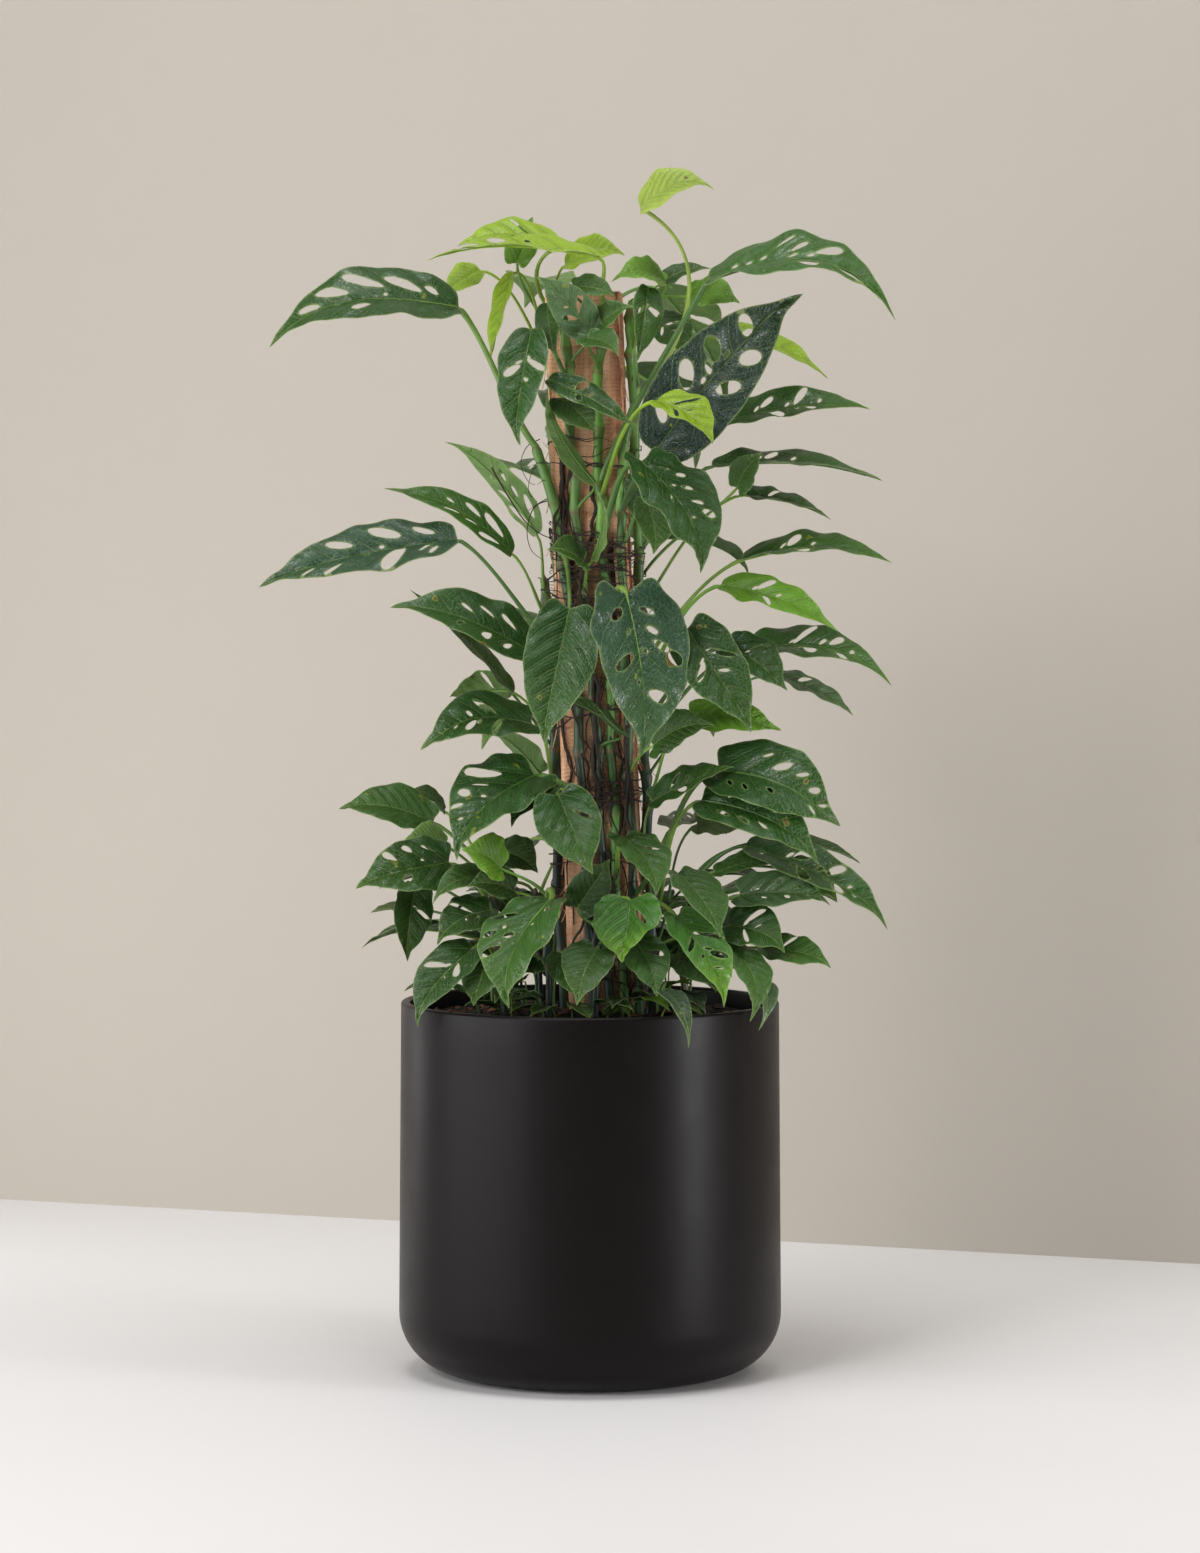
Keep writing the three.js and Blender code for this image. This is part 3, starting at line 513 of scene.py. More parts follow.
make_piece("stake_splinters", *splinters(SPLINTERS), [cedar], "stake")

# ---- the vines ------------------------------------------------------------------------------
# Ten vines climb the board, and seven shoots come up round it, from cuttings planted together.
# A vine is one living piece: its stem, a stalk to each leaf, and the leathery pierced blades.

# Each plant: the points along its stem, then a line for each leaf. A line has the leaf's green and
# the height where its stalk leaves the stem, the blade's base, its tip, then its width, how its
# face tilts and turns in degrees, its arch and its holes, and any two points that bend its stalk.
VINES = {
    "vine_front_left": """
    0 -23 330, -4 -23 420, -8 -23 500, -14 -23 590, -23 -23 660, -32 -23 705, -43 -20 745
    dark 741, -104 -24 852, -254 -36 820, 68 40 0 0.18 low_slots, -62 -22 762, -84 -22 832
    blue 562, -105 -40 668, -262 -55 631, 55 42 0 0.05 mixed_slots, -44 -34 592, -78 -38 656
    dark 540, -45 -50 578, -157 -75 616, 54 45 0 0.1 slot_row
    dark 650, -16 -78 614, -38 -100 508, 58 80 -5 0.06 0
    dark 430, -25 -82 467, 0 -108 406, 52 62 0 0.1 1
    dark 445, -28 -62 472, -63 -88 442, 34 45 -40 0.1 0
    dark 455, -43 -54 474, -108 -90 410, 74 68 -34 0.16 one_large""",
    "vine_front_middle": """
    13 -23 330, 9 -23 430, 5 -23 520, -2 -23 600, -10 -23 680, -15 -23 750, -17 -24 810, -20 -28 850
    dark 790, -46 -48 834, -59 -78 741, 40 75 -15 0.08 2
    dark 770, -33 -52 794, 36 -84 753, 25 50 0 0.08 2
    dark 745, -22 -45 780, 5 -66 750, 32 65 0 0.1 0
    grey 805, 0 -48 832, -40 -62 876, 34 60 -20 0.08 2
    dark 820, -34 -36 852, -26 -56 806, 21 65 -25 0.12 0
    light 690, 4 -52 712, -34 -76 786, 20 35 -70 0.1 0
    light 640, 2 -56 652, 6 -82 706, 24 40 60 0.1 0
    dark 625, -5 -50 650, -34 -76 660, 31 58 -15 0.12 0
    dark 500, 25 -45 513, -22 -66 541, 34 20 0 0.08 2
    dark 350, -10 -45 376, 16 -52 415, 34 75 0 0.08 0""",
    "vine_front_right": """
    25 -23 330, 20 -23 430, 17 -23 520, 12 -23 600, 9 -23 680, 6 -23 750, 8 -23 820, 10 -24 860
    lime 858, 8 -30 892, -128 -42 888, 42 18 0 0.08 windows
    mid 712, 93 -42 873, 241 -62 841, 66 30 0 0.24 pinholes, 20 -38 752, 60 -46 815
    blue 600, 28 -86 627, 42 -104 498, 82 82 26 0.06 heart
    lime 700, 52 -88 776, 97 -108 742, 46 56 40 0.14 2
    dark 668, 40 -78 729, 89 -104 642, 76 66 42 0.12 scattered
    mid 820, 3 -46 838, 34 -66 856, 26 55 10 0.1 0
    mid 800, -2 -52 826, 24 -82 812, 28 55 5 0.1 0
    mid 840, -14 -44 868, 21 -52 860, 24 50 0 0.12 0
    mid 400, 26 -62 433, 54 -100 389, 46 58 32 0.12 1""",
    "vine_right_front": """
    37 -23 330, 33 -23 430, 30 -23 520, 27 -23 600, 25 -23 680, 26 -24 740, 38 -30 778
    pale 776, 40 -32 930, 98 -40 946, 42 42 0 0.22 0, 96 -34 850, 88 -34 905
    deep 690, 51 -62 737, 162 -78 865, 70 78 15 0.05 tall_ovals
    dark 690, 50 -38 724, 42 -48 674, 36 72 0 0.06 0
    mid 660, 45 -42 698, 51 -58 656, 34 65 20 0.08 0
    dark 560, 77 -74 598, 128 -98 517, 54 68 12 0.08 2
    mid 480, 50 -55 505, 98 -72 522, 38 55 0 0.15 0
    mid 380, 69 -76 405, 102 -106 356, 46 60 40 0.12 0""",
    "vine_right_side": """
    49.6 -6 330, 41.4 -6 570, 32.8 -8 825, 34 -10 860
    bright 840, 60 -20 872, 17 -36 872, 30 48 0 0.28 0
    mid 815, 46 -34 868, 36 -60 808, 28 62 40 0.08 2
    mid 828, 52 -32 862, 76 -52 830, 40 60 20 0.1 2
    bright 850, 80 -12 862, 119 -22 855, 34 52 0 0.2 0
    lime 762, 88 8 832, 190 4 795, 38 28 0 0.1 2
    mid 655, 97 -12 727, 233 -18 713, 42 18 0 0.08 2
    mid 565, 121 -12 652, 241 -22 647, 42 22 0 0.1 2
    bright 550, 104 -28 632, 195 -44 593, 42 32 0 0.12 2
    dark 515, 109 -42 583, 154 -62 547, 40 48 0 0.1 1
    bright 455, 79 -32 529, 151 -48 514, 38 48 0 0.15 0
    dark 390, 101 -42 485, 196 -64 438, 63 56 0 0.18 broad
    dark 380, 50 -36 460, 114 -50 487, 38 32 0 0.08 2""",
    "vine_right_rear": """
    49.6 9 330, 41.4 9 570, 32.6 8 855
    dark 845, 55 2 872, 97 6 884, 22 35 0 0.1 0
    mid 682, 101 2 760, 224 -8 771, 44 32 0 0.1 4
    mid 635, 117 -22 709, 137 -38 737, 26 60 0 0.1 0
    mid 610, 121 6 704, 193 2 684, 30 20 0 0.08 1
    mid 500, 128 -8 582, 241 -22 552, 52 28 0 0.12 4
    grey 475, 147 14 560, 212 8 527, 32 20 0 0.06 1
    dark 350, 88 -46 465, 182 -74 417, 52 48 0 0.12 slot_row
    olive 335, 86 2 440, 141 -4 436, 36 38 0 0.1 1""",
    "vine_left_side": """
    -23.6 -4 330, -33 -4 600, -36 -4 640
    light 620, -42 -14 672, -113 -20 748, 29 40 180 0.05 base_slots
    mid 600, -62 -20 657, -165 -30 705, 33 42 0 0.12 base_slots
    dark 500, -62 -14 545, -144 -34 626, 32 22 0 0.06 0
    dark 470, -46 -34 521, -133 -54 498, 50 45 0 0.22 3""",
    "vine_left_rear": """
    -20 24 330, -24 23.5 500, -27 23 680, -35 23 860
    lime 818, -62 -6 882, -78 -20 810, 28 60 -60 0.05 0
    lime 856, -24 -2 901, -105 -12 900, 46 30 0 0.12 2, -50 22 880, -42 6 898
    lime 810, -88 14 884, -116 6 864, 28 45 0 0.1 0
    bright 840, -59 20 890, -47 24 928, 26 60 0 0.05 0
    lime 848, -20 14 888, 28 2 896, 36 45 0 0.15 0, -30 31 868, -26 24 886
    light 500, -66 12 547, -113 8 542, 38 45 180 0.1 1
    light 440, -40 4 480, -82 0 516, 28 35 180 0.06 0""",
    "shoot_left": """
    -71 -8 300, -76 -8 350, -80 -8 400
    mid 393, -126 2 441, -202 -4 452, 42 48 0 0.1 0
    dark 370, -112 -34 411, -186 -54 392, 54 52 0 0.14 three_ovals
    light 387, -116 -18 427, -148 -28 433, 28 50 0 0.12 0
    dark 385, -72 -30 420, -42 -36 402, 34 50 0 0.15 0
    dark 390, -118 14 449, -153 6 459, 18 40 0 0.3 0
    olive 340, -146 12 372, -177 8 368, 18 15 0 0.05 0
    dark 350, -140 -22 390, -148 -40 333, 34 70 30 0.08 1
    mid 380, -80 -42 402, -126 -64 381, 26 45 0 0.25 0
    dark 350, -78 -52 374, -122 -78 350, 40 45 0 0.12 2
    dark 320, -92 -72 346, -138 -92 287, 40 55 -20 0.2 2""",
    "shoot_front_left": """
    -34 -50 300, -34 -52 350, -33 -55 388
    mid 386, -30 -86 386, -66 -124 303, 70 64 -40 0.12 low_front
    mid 330, -18 -86 342, -7 -116 306, 42 60 0 0.1 1
    dark 375, -60 -62 390, -97 -74 395, 34 52 0 0.12 0
    mid 330, -82 -86 338, -92 -106 306, 34 60 -15 0.1 0
    bright 384, -70 -66 409, -101 -82 425, 38 60 0 0.12 0""",
    "shoot_front_middle": """
    3 -62 300, 5 -64 345, 8 -66 375
    tipped 373, 32 -92 385, 25 -118 338, 60 68 -28 0.06 1
    dark 335, 6 -88 344, -10 -122 302, 40 62 0 0.12 0
    mid 345, 36 -88 352, 53 -112 311, 36 65 5 0.1 1""",
    "shoot_front_right": """
    46 -52 300, 49 -52 345, 52 -52 385
    tipped 375, 68 -88 372, 106 -120 303, 47 60 34 0.15 3
    dark 320, 68 -66 340, 101 -88 314, 36 50 5 0.1 0
    deep 308, 56 -108 332, 78 -163 293, 19 28 20 0.22 0, 60 -60 316, 62 -92 326
    mid 340, 108 -62 346, 128 -98 290, 38 58 34 0.22 0""",
    "shoot_right": """
    74 -14 300, 78 -14 350, 82 -14 398
    dark 390, 124 -22 424, 239 -42 361, 46 32 0 0.12 4
    light 388, 153 -34 406, 198 -48 382, 32 48 0 0.1 1
    grey 350, 119 -44 386, 191 -58 381, 44 38 0 0.12 round_small
    dark 330, 109 -54 362, 155 -74 344, 44 52 0 0.12 2
    mid 320, 138 -44 344, 192 -54 330, 34 38 0 0.12 1
    mid 380, 100 -24 401, 152 -30 408, 26 32 0 0.1 0
    dark 396, 143 2 427, 217 -4 409, 30 18 0 0.08 0
    grey 310, 122 -48 326, 134 -92 282, 22 55 40 0.25 0""",
}
# The plants at the back follow a rule, in which each leaf turns and reaches a little differently:
# how many leaves, from and to which height, their middle direction and its spread, the stalk's
# reach, the blade's length, and where the rule starts.
REAR_VINES = {
    "vine_rear_left": (
        [(-8, 23, 330), (-14, 23, 500), (-13, 23, 680), (-20, 24, 845)],
        (8, 400, 825, -10, 14, 58, 112, 2.2),
    ),
    "vine_rear_right": (
        [(16, 23, 330), (9, 23, 500), (8, 23, 700), (1, 24, 845)],
        (8, 380, 835, 34, 24, 58, 112, 1.9),
    ),
    "shoot_rear_left": (
        [(-42, 48, 300), (-44, 50, 350), (-46, 52, 385)],
        (5, 330, 382, -35, 75, 42, 88, 3.1),
    ),
    "shoot_rear_right": (
        [(44, 48, 300), (46, 50, 350), (48, 52, 385)],
        (5, 330, 382, 35, 75, 42, 88, 5.2),
    ),
}

# The leaves' colours. A tipped leaf goes over to the colour tip along its outer half.
GREENS = {
    "deep": 0x112D2A, "dark": 0x1B4717, "mid": 0x2E5B1E, "tipped": 0x3A7124, "blue": 0x234733,
    "light": 0x648A3E, "bright": 0x669A1E, "lime": 0x93B420, "pale": 0xAEC553, "olive": 0x4C5F33,
    "grey": 0x46653F, "tip": 0x74A524,
}
GREENS = {name: tone(code) for name, code in GREENS.items()}
REAR_GREENS = ("mid", "dark", "light", "mid", "dark")
ROW = ("green", "at", "base", "tip", "wide", "face", "arch", "holes", "via")
# A blade's outline: how it rounds at its base and narrows to its tip, and its lobes there. It is
# folded along its midrib, droops to its edges and waves along them.
OUTLINE = {"base": 0.52, "tip": 1.0}
LOBE = {"at": 0.06, "from": 0.35, "rate": 0.5, "least": 0.03, "most": 0.12}
FOLD, DROOP, WAVE, WAVES = math.radians(22), 0.16, 0.07, 2.3
VEIN_SLANT = math.radians(50)
HALF_THICK, THINNER_EDGE = 0.34, 0.2
# A blade's points stand about this far apart, in mm: its length over a count, between limits.
SPACING = {"count": 46, "least": 1.5, "most": 2.9}
# Leaves whose table gives a number of holes have them by rule: where each is along the blade and
# on which side. Large ones stand between the side veins, small ones by the midrib.
LARGE_HOLES = ((0.34, 1), (0.4, -1), (0.56, 1), (0.62, -1), (0.2, -1), (0.15, 1))
SMALL_HOLES = ((0.27, 1), (0.32, -1), (0.47, 1), (0.53, -1), (0.68, 1), (0.73, -1), (0.12, -1))
LARGE_HOLE = {"across": 0.46, "reach": 0.32, "wide": 0.03}
SMALL_HOLE = {"across": 0.19, "reach": 0.11, "wide": 0.013}
# Some leaves are pierced in a way of their own. Each hole, in thousandths: its place along the
# blade, its side, its place across the half blade, and half its length and half its width as
# shares of the blade's length. Last comes its slant to the midrib in degrees.
PIERCED = {
    "low_slots": """
    120 -1 450 35 20 40, 260 -1 450 90 27 24, 460 -1 500 100 27 22, 630 -1 420 85 24 18,
    760 -1 240 60 14 10, 500 1 450 50 18 20, 360 -1 90 12 7 0, 300 1 100 10 6 0,
    620 1 100 14 7 0""",
    "mixed_slots": """
    150 -1 500 55 21 26, 340 -1 500 85 27 20, 570 -1 450 70 19 16, 330 1 520 90 36 40,
    160 1 360 50 13 45, 130 1 660 35 10 45, 370 -1 100 13 8 0, 450 1 120 14 8 0,
    630 1 600 50 16 22, 750 1 500 35 12 18""",
    "pinholes": """
    360 1 580 50 13 36, 440 1 420 50 12 36, 600 1 420 75 20 25, 500 -1 450 70 34 25,
    730 -1 380 80 30 15, 130 1 130 14 8 20, 200 1 130 16 9 20, 270 1 130 17 9 20,
    420 1 120 22 10 20, 510 1 120 20 9 20, 350 -1 100 13 7 0, 620 -1 100 20 8 0""",
    "tall_ovals": """
    720 1 360 55 30 50, 540 1 480 65 34 48, 460 1 220 30 15 50, 370 1 500 70 35 46,
    170 1 500 60 26 46, 620 -1 420 55 32 34, 450 -1 420 55 30 36, 260 -1 450 50 22 40,
    560 1 120 20 9 20, 400 1 120 18 9 20, 330 -1 120 18 9 20""",
    "windows": """
    600 -1 500 55 30 25, 770 -1 360 80 26 14, 620 1 500 50 20 20, 420 -1 300 20 12 30,
    800 1 360 40 14 15""",
    "scattered": """
    130 1 300 30 14 50, 240 1 420 33 17 50, 360 1 300 45 20 52, 500 1 360 45 19 56,
    620 1 500 50 30 45, 420 -1 280 50 17 50, 300 1 120 13 8 30, 220 -1 140 16 8 30,
    600 1 120 12 7 30""",
    "heart": """
    140 -1 420 55 26 55, 440 -1 420 80 34 58, 130 1 350 45 17 60, 250 1 320 35 18 50,
    350 1 420 50 27 46, 430 1 680 55 38 58, 650 1 340 60 34 52, 250 -1 160 20 10 40,
    370 1 120 20 9 40, 560 -1 130 15 8 40""",
    "broad": """
    300 1 600 35 11 40, 440 1 420 70 26 30, 600 1 500 45 13 30, 730 1 420 45 20 30,
    830 1 260 30 10 30, 150 -1 500 35 13 40, 270 -1 500 40 13 40, 450 -1 360 35 18 30,
    780 -1 360 35 12 20""",
    "one_large": """
    300 -1 620 150 54 45, 410 -1 420 60 13 45, 550 -1 600 50 28 50, 670 -1 660 55 20 45,
    740 -1 360 24 13 45, 470 -1 200 20 12 45""",
    "three_ovals": """
    600 -1 600 75 34 35, 500 1 420 65 42 50, 400 -1 620 55 28 45, 200 -1 550 60 14 30,
    280 -1 200 18 10 30""",
    "low_front": """
    260 -1 660 90 28 60, 460 -1 700 55 30 55, 370 -1 450 16 12 50, 430 -1 240 42 21 45,
    600 -1 550 80 35 45, 150 1 400 30 18 50, 300 1 200 18 10 45""",
    "base_slots": """
    200 1 500 90 22 14, 200 -1 500 100 24 14, 380 -1 450 70 18 16, 360 1 300 50 10 14,
    520 1 400 60 12 14, 550 -1 300 30 9 10""",
    "slot_row": """
    200 1 450 50 18 55, 360 1 450 50 26 55, 220 -1 500 60 15 24, 380 -1 500 55 12 22,
    520 -1 400 45 12 20, 550 1 400 35 15 45""",
    "round_small": """
    300 -1 450 40 28 45, 420 1 420 40 28 45, 550 -1 420 45 22 40, 660 1 400 35 22 35,
    760 -1 300 30 14 30, 200 1 200 20 13 40""",
}
# Radii of the stems, the height their feet reach down to, and the longest stretch without a ring.
STEM = {"vine": 4.2, "shoot": 3.0, "foot": 235, "sides": 14, "internode": 55}
OLD_STEMS = {"vine_front_right": 0x44702C, "vine_right_front": 0x2C4A30, "others": 0x20352C}
# A stalk's radius, by how wide its blade is, and the steps of its midrib below the blade.
STALK_RADII = ((60, 2.7), (38, 1.8), (0, 1.3))
RIB_STEPS = 12
# Where a leaf met its neighbours it grew clear of them, by one of these steps back and up.
CLEARANCES = [(0, 0)]
for step in (7, 14, 21, 28, 35):
    CLEARANCES += [(step, 0), (-step, 0), (step, step / 2), (-step, -step / 2)]
    CLEARANCES += [(step, -step / 2), (-step, step / 2), (0, step / 2), (0, -step / 2)]


def numbers(text):
    return tuple(float(word) for word in text.split())


def path(text):
    """Points written with commas between them."""
    return [numbers(point) for point in text.split(",")]


def read_plant(table):
    """A plant's table as the points of its stem and a row for each leaf."""
    stem, *lines = table.strip().splitlines()
    rows = []
    for line in lines:
        (green, at), base, tip, (wide, tilt, turn, arch, holes), *via = (
            part.split() if k in (0, 3) else numbers(part) for k, part in enumerate(line.split(","))
        )
        holes = int(holes) if holes.isdigit() else holes
        face = (float(tilt), float(turn))
        rows.append((green, float(at), base, tip, float(wide), face, float(arch), holes, via))
    return path(stem), rows


def unit(v):
    return v / np.linalg.norm(v)


def on_stem(stem, z):
    """The point of a stem's middle line at a height."""
    k = next((i for i in range(1, len(stem)) if stem[i][2] >= z), len(stem) - 1)
    low, high = np.array(stem[k - 1], float), np.array(stem[k], float)
    return low + (high - low) * (z - low[2]) / (high[2] - low[2])


def rear_rows(stem, rule):
    """The rows of a plant at the back, by its rule."""
    count, low, high, middle, spread, reach, size, seed = rule
    rows = []
    for i in range(count):
        sway = lambda k: math.sin(k * i + seed * k)
        at = low + (high - low) * i / (count - 1)
        opened = 1.9 - 1.1 * i / (count - 1)
        heading = math.radians(middle + spread * opened * sway(2.4))
        outward = np.array([math.sin(heading), math.cos(heading), 0])
        length = size * (1 + 0.22 * sway(1.7))
        base = on_stem(stem, at) + outward * reach * (1 + 0.45 * sway(3.1))
        base[2] += 24 + 26 * sway(4.3)
        drop = 0.42 + 0.42 * sway(5.9)
        tip = base + outward * length * math.sqrt(1 - drop * drop) - (0, 0, length * drop)
        face = (36 + 10 * sway(2.9), 180 - math.degrees(heading))
        rows.append((REAR_GREENS[i % 5], at, base, tip, length * 0.47, face, 0.12, 2, ()))
    return rows


def half_width(t):
    """A blade's half width along it, as a share of the most."""
    raw = lambda s: s ** OUTLINE["base"] * (1 - s) ** OUTLINE["tip"]
    return raw(np.clip(t, 0, 1)) / raw(OUTLINE["base"] / (OUTLINE["base"] + OUTLINE["tip"]))


def set_blade(leaf):
    """Works out the directions of a blade from its base, tip and face."""
    chord = leaf["tip"] - leaf["base"]
    length = np.linalg.norm(chord)
    tilt, turn = np.radians(leaf["face"])
    flat = math.sin(tilt)
    up = np.array([math.sin(turn) * flat, -math.cos(turn) * flat, math.cos(tilt)])
    along = chord / length
    up = unit(up - along * up.dot(along))
    return dict(leaf, length=length, along=along, up=up, side=np.cross(up, along))


def on_blade(leaf, x, y):
    """Points of the blade's middle surface, from x along the midrib and y across it in mm."""
    half, s = leaf["wide"] / 2, x / leaf["length"]
    share, ahead = np.abs(y) / half, np.maximum(s, 0)
    arch = leaf["arch"] * leaf["length"] * 4 * ahead * (1 - ahead) * (0.7 + 0.6 * ahead)
    wave = WAVE * np.sin(2 * math.pi * (WAVES * s + 0.5 * (y > 0)) + leaf["phase"])
    rise = half * (share * math.tan(FOLD) + share**2 * (wave - DROOP))
    lift = (arch + rise)[:, None] * leaf["up"]
    return leaf["base"] + x[:, None] * leaf["along"] + lift + y[:, None] * leaf["side"]


def settled(leaf, skin):
    """The leaf with its blade grown clear by the step that brings its tip to the plant's skin."""
    best = None
    for step in CLEARANCES:
        moved = {end: leaf[end] + (0, *step) for end in ("base", "tip")}
        moved = set_blade(dict(leaf, **moved))
        tip = on_blade(moved, np.array([moved["length"]]), np.array([0.0]))[0] + moved["up"] * 0.6
        gap = np.min(np.linalg.norm(skin - tip, axis=1))
        if best is None or gap < best[0] - 0.05:
            best = (gap, moved)
    return best[1]


def evenly(points, spacing, least):
    """A line of points walked over again in even steps."""
    points = np.asarray(points)
    walked = np.append(0, np.cumsum(np.linalg.norm(np.diff(points, axis=0), axis=1)))
    count = max(least, int(walked[-1] / spacing))
    stops = np.linspace(0, walked[-1], count + 1)
    return np.stack([np.interp(stops, walked, points[:, k]) for k in range(points.shape[1])], 1)


def inside(loop, points):
    """Which points lie in a closed loop."""
    x, y = points[:, 0], points[:, 1]
    found = np.zeros(len(points), bool)
    for (ax, ay), (bx, by) in zip(loop, np.roll(loop, -1, axis=0)):
        if ay != by:
            found ^= ((ay > y) != (by > y)) & (x < (bx - ax) * (y - ay) / (by - ay) + ax)
    return found


def hole_places(leaf):
    """Each hole of a blade: its middle, half its length and width in mm, and its slant."""
    length, half, phase, holes = leaf["length"], leaf["wide"] / 2, leaf["phase"], leaf["holes"]
    places = []
    if holes in PIERCED:
        for s, sign, across, long, wide, slant in path(PIERCED[holes]):
            s, across, long, wide = s / 1000, across / 1000, long / 1000, wide / 1000
            y = sign * half * half_width(s) * across
            places.append((s * length, y, long * length, wide * length, math.radians(slant)))
        return places
    rule = [(s, sign, LARGE_HOLE) for s, sign in LARGE_HOLES[:holes]]
    if holes >= 2:
        rule += [(s, sign, SMALL_HOLE) for s, sign in SMALL_HOLES[: 2 * holes - 1]]
    for s, sign, hole in rule:
        local = half * half_width(s)
        sway = math.sin(phase * 3 + s * 40)
        y = sign * local * (hole["across"] + 0.05 * sway)
        long = local * hole["reach"] / math.sin(VEIN_SLANT) * (0.94 + 0.2 * sway)
        wide = min(length * hole["wide"] * (1 + 0.2 * math.sin(phase + s * 23)), long * 0.62)
        places.append((s * length, y, long, wide, VEIN_SLANT + 0.14 * sway))
    return places


def blade_holes(leaf, spacing):
    """The loops of a blade's holes: each egg shaped, a little uneven, its blunt end outwards."""
    loops = []
    for x, y, long, wide, slant in hole_places(leaf):
        count = max(10, int(3.6 * (long + wide) / spacing))
        angles = np.linspace(0, 2 * math.pi, count, endpoint=False)
        uneven = 1 + 0.07 * np.sin(2 * angles + x) + 0.04 * np.sin(3 * angles + leaf["phase"])
        along = long * np.cos(angles) * uneven
        across = wide * np.sin(angles) * (1 + 0.22 * np.cos(angles)) * uneven
        sign = 1 if y > 0 else -1
        px = x + along * math.cos(slant) + across * math.sin(slant)
        py = y + sign * (along * math.sin(slant) - across * math.cos(slant))
        loops.append(np.stack([px, py], 1))
    return loops


def blade_outline(leaf, spacing):
    """The blade's two edges from base to tip, with a lobe on each side of the stalk, and how far
    back the lobes reach. The youngest leaves have small lobes and a nearly smooth edge."""
    length, half, phase = leaf["length"], leaf["wide"] / 2, leaf["phase"]
    t = np.linspace(0, 1, 500) ** 1.8
    lobe = (leaf["wide"] / length - LOBE["from"]) * LOBE["rate"]
    lobe = min(max(lobe, LOBE["least"]), LOBE["most"])
    smooth = 0.3 if leaf["green"] in ("lime", "pale") else 1.0
    lobe *= 0.35 if smooth < 1 or leaf["holes"] == "low_front" else 1.0
    x = (t - lobe * t / LOBE["at"] * np.exp(1 - t / LOBE["at"])) * length
    x[-1] = length
    drawn_out = 1 - 0.36 * np.exp(-(((t - 0.9) / 0.085) ** 2))
    sides = []
    for sign in (1, -1):
        uneven = 1 + 0.06 * sign * math.sin(phase * 1.1)
        waver = 0.013 * np.sin(t * 31 + phase + sign) + 0.012 * np.sin(t * 17 + phase * 2 - sign)
        ripple = drawn_out * uneven * (1 + smooth * waver * t * (1 - t) * 4)
        y = sign * half * half_width(t) * ripple
        sides.append(evenly(np.stack([x, y], 1), spacing, 14))
    return sides, x.min()


def cut_blade(leaf):
    """A blade laid flat, its holes cut out: its points and its triangles."""
    length, half = leaf["length"], leaf["wide"] / 2
    spacing = min(max(length / SPACING["count"], SPACING["least"]), SPACING["most"])
    sides, back = blade_outline(leaf, spacing)
    outline = np.concatenate([sides[0], sides[1][::-1][1:-1]])
    holes = blade_holes(leaf, spacing)
    rib = evenly([(0, 0), (length, 0)], spacing, 8)[1:-1]
    rows = np.arange(-half - spacing, half + spacing, spacing * 0.87)
    columns = np.arange(back, length, spacing)
    grid = [(gx + (k % 2) * spacing / 2, gy) for k, gy in enumerate(rows) for gx in columns]
    grid = np.array(grid)
    grid = grid[inside(outline, grid) & (np.abs(grid[:, 1]) > 0.55 * spacing)]
    edge = np.concatenate([outline, *holes])
    for loop in holes:
        grid = grid[~inside(loop, grid)]
    near = np.min(np.linalg.norm(grid[:, None] - edge[None], axis=2), axis=1)
    points = np.concatenate([edge, rib, grid[near > 0.6 * spacing]])
    links, first = [], 0
    for loop in (outline, *holes):
        links += [(first + i, first + (i + 1) % len(loop)) for i in range(len(loop))]
        first += len(loop)
    chain = [0, *range(first, first + len(rib)), len(sides[0]) - 1]
    links += list(zip(chain, chain[1:]))
    made = geometry.delaunay_2d_cdt([Vector(p) for p in points], links, [], 1, 1e-5)
    points = np.array([tuple(v) for v in made[0]])
    triangles = np.array([f for f in made[2] if len(f) == 3])
    centres = points[triangles].mean(1)
    kept = inside(outline, centres)
    for loop in holes:
        kept &= ~inside(loop, centres)
    triangles = triangles[kept]
    used = np.unique(triangles)
    triangles, points = np.searchsorted(used, triangles), points[used]
    a, b, c = (points[triangles[:, k]] for k in range(3))
    turned_over = (b - a)[:, 0] * (c - a)[:, 1] - (b - a)[:, 1] * (c - a)[:, 0] < 0
    triangles[turned_over] = triangles[turned_over][:, ::-1]
    return points, triangles


def tube(line, radii, sides, side, groove=0.0):
    """A round tube along a line. side is its first direction, and a groove runs along the upper
    side of it."""
    line = np.asarray(line, float)
    along = np.gradient(line, axis=0)
    along /= np.linalg.norm(along, axis=1)[:, None]
    angles = np.linspace(0, 2 * math.pi, sides, endpoint=False)
    flute = 1 - groove * np.exp(-(((angles - math.pi / 2) / 0.6) ** 2))
    points = []
    for p, axis, radius in zip(line, along, radii):
        side = unit(side - axis * side.dot(axis))
        up = np.cross(side, axis)
        way = np.cos(angles)[:, None] * side + np.sin(angles)[:, None] * up
        points.append(p + way * (radius * flute)[:, None])
    last = (len(line) - 1) * sides
    faces = ring_faces(len(line), sides, inward=True)
    faces += [tuple(range(sides)), tuple(range(last + sides - 1, last - 1, -1))]
    return np.concatenate(points), faces


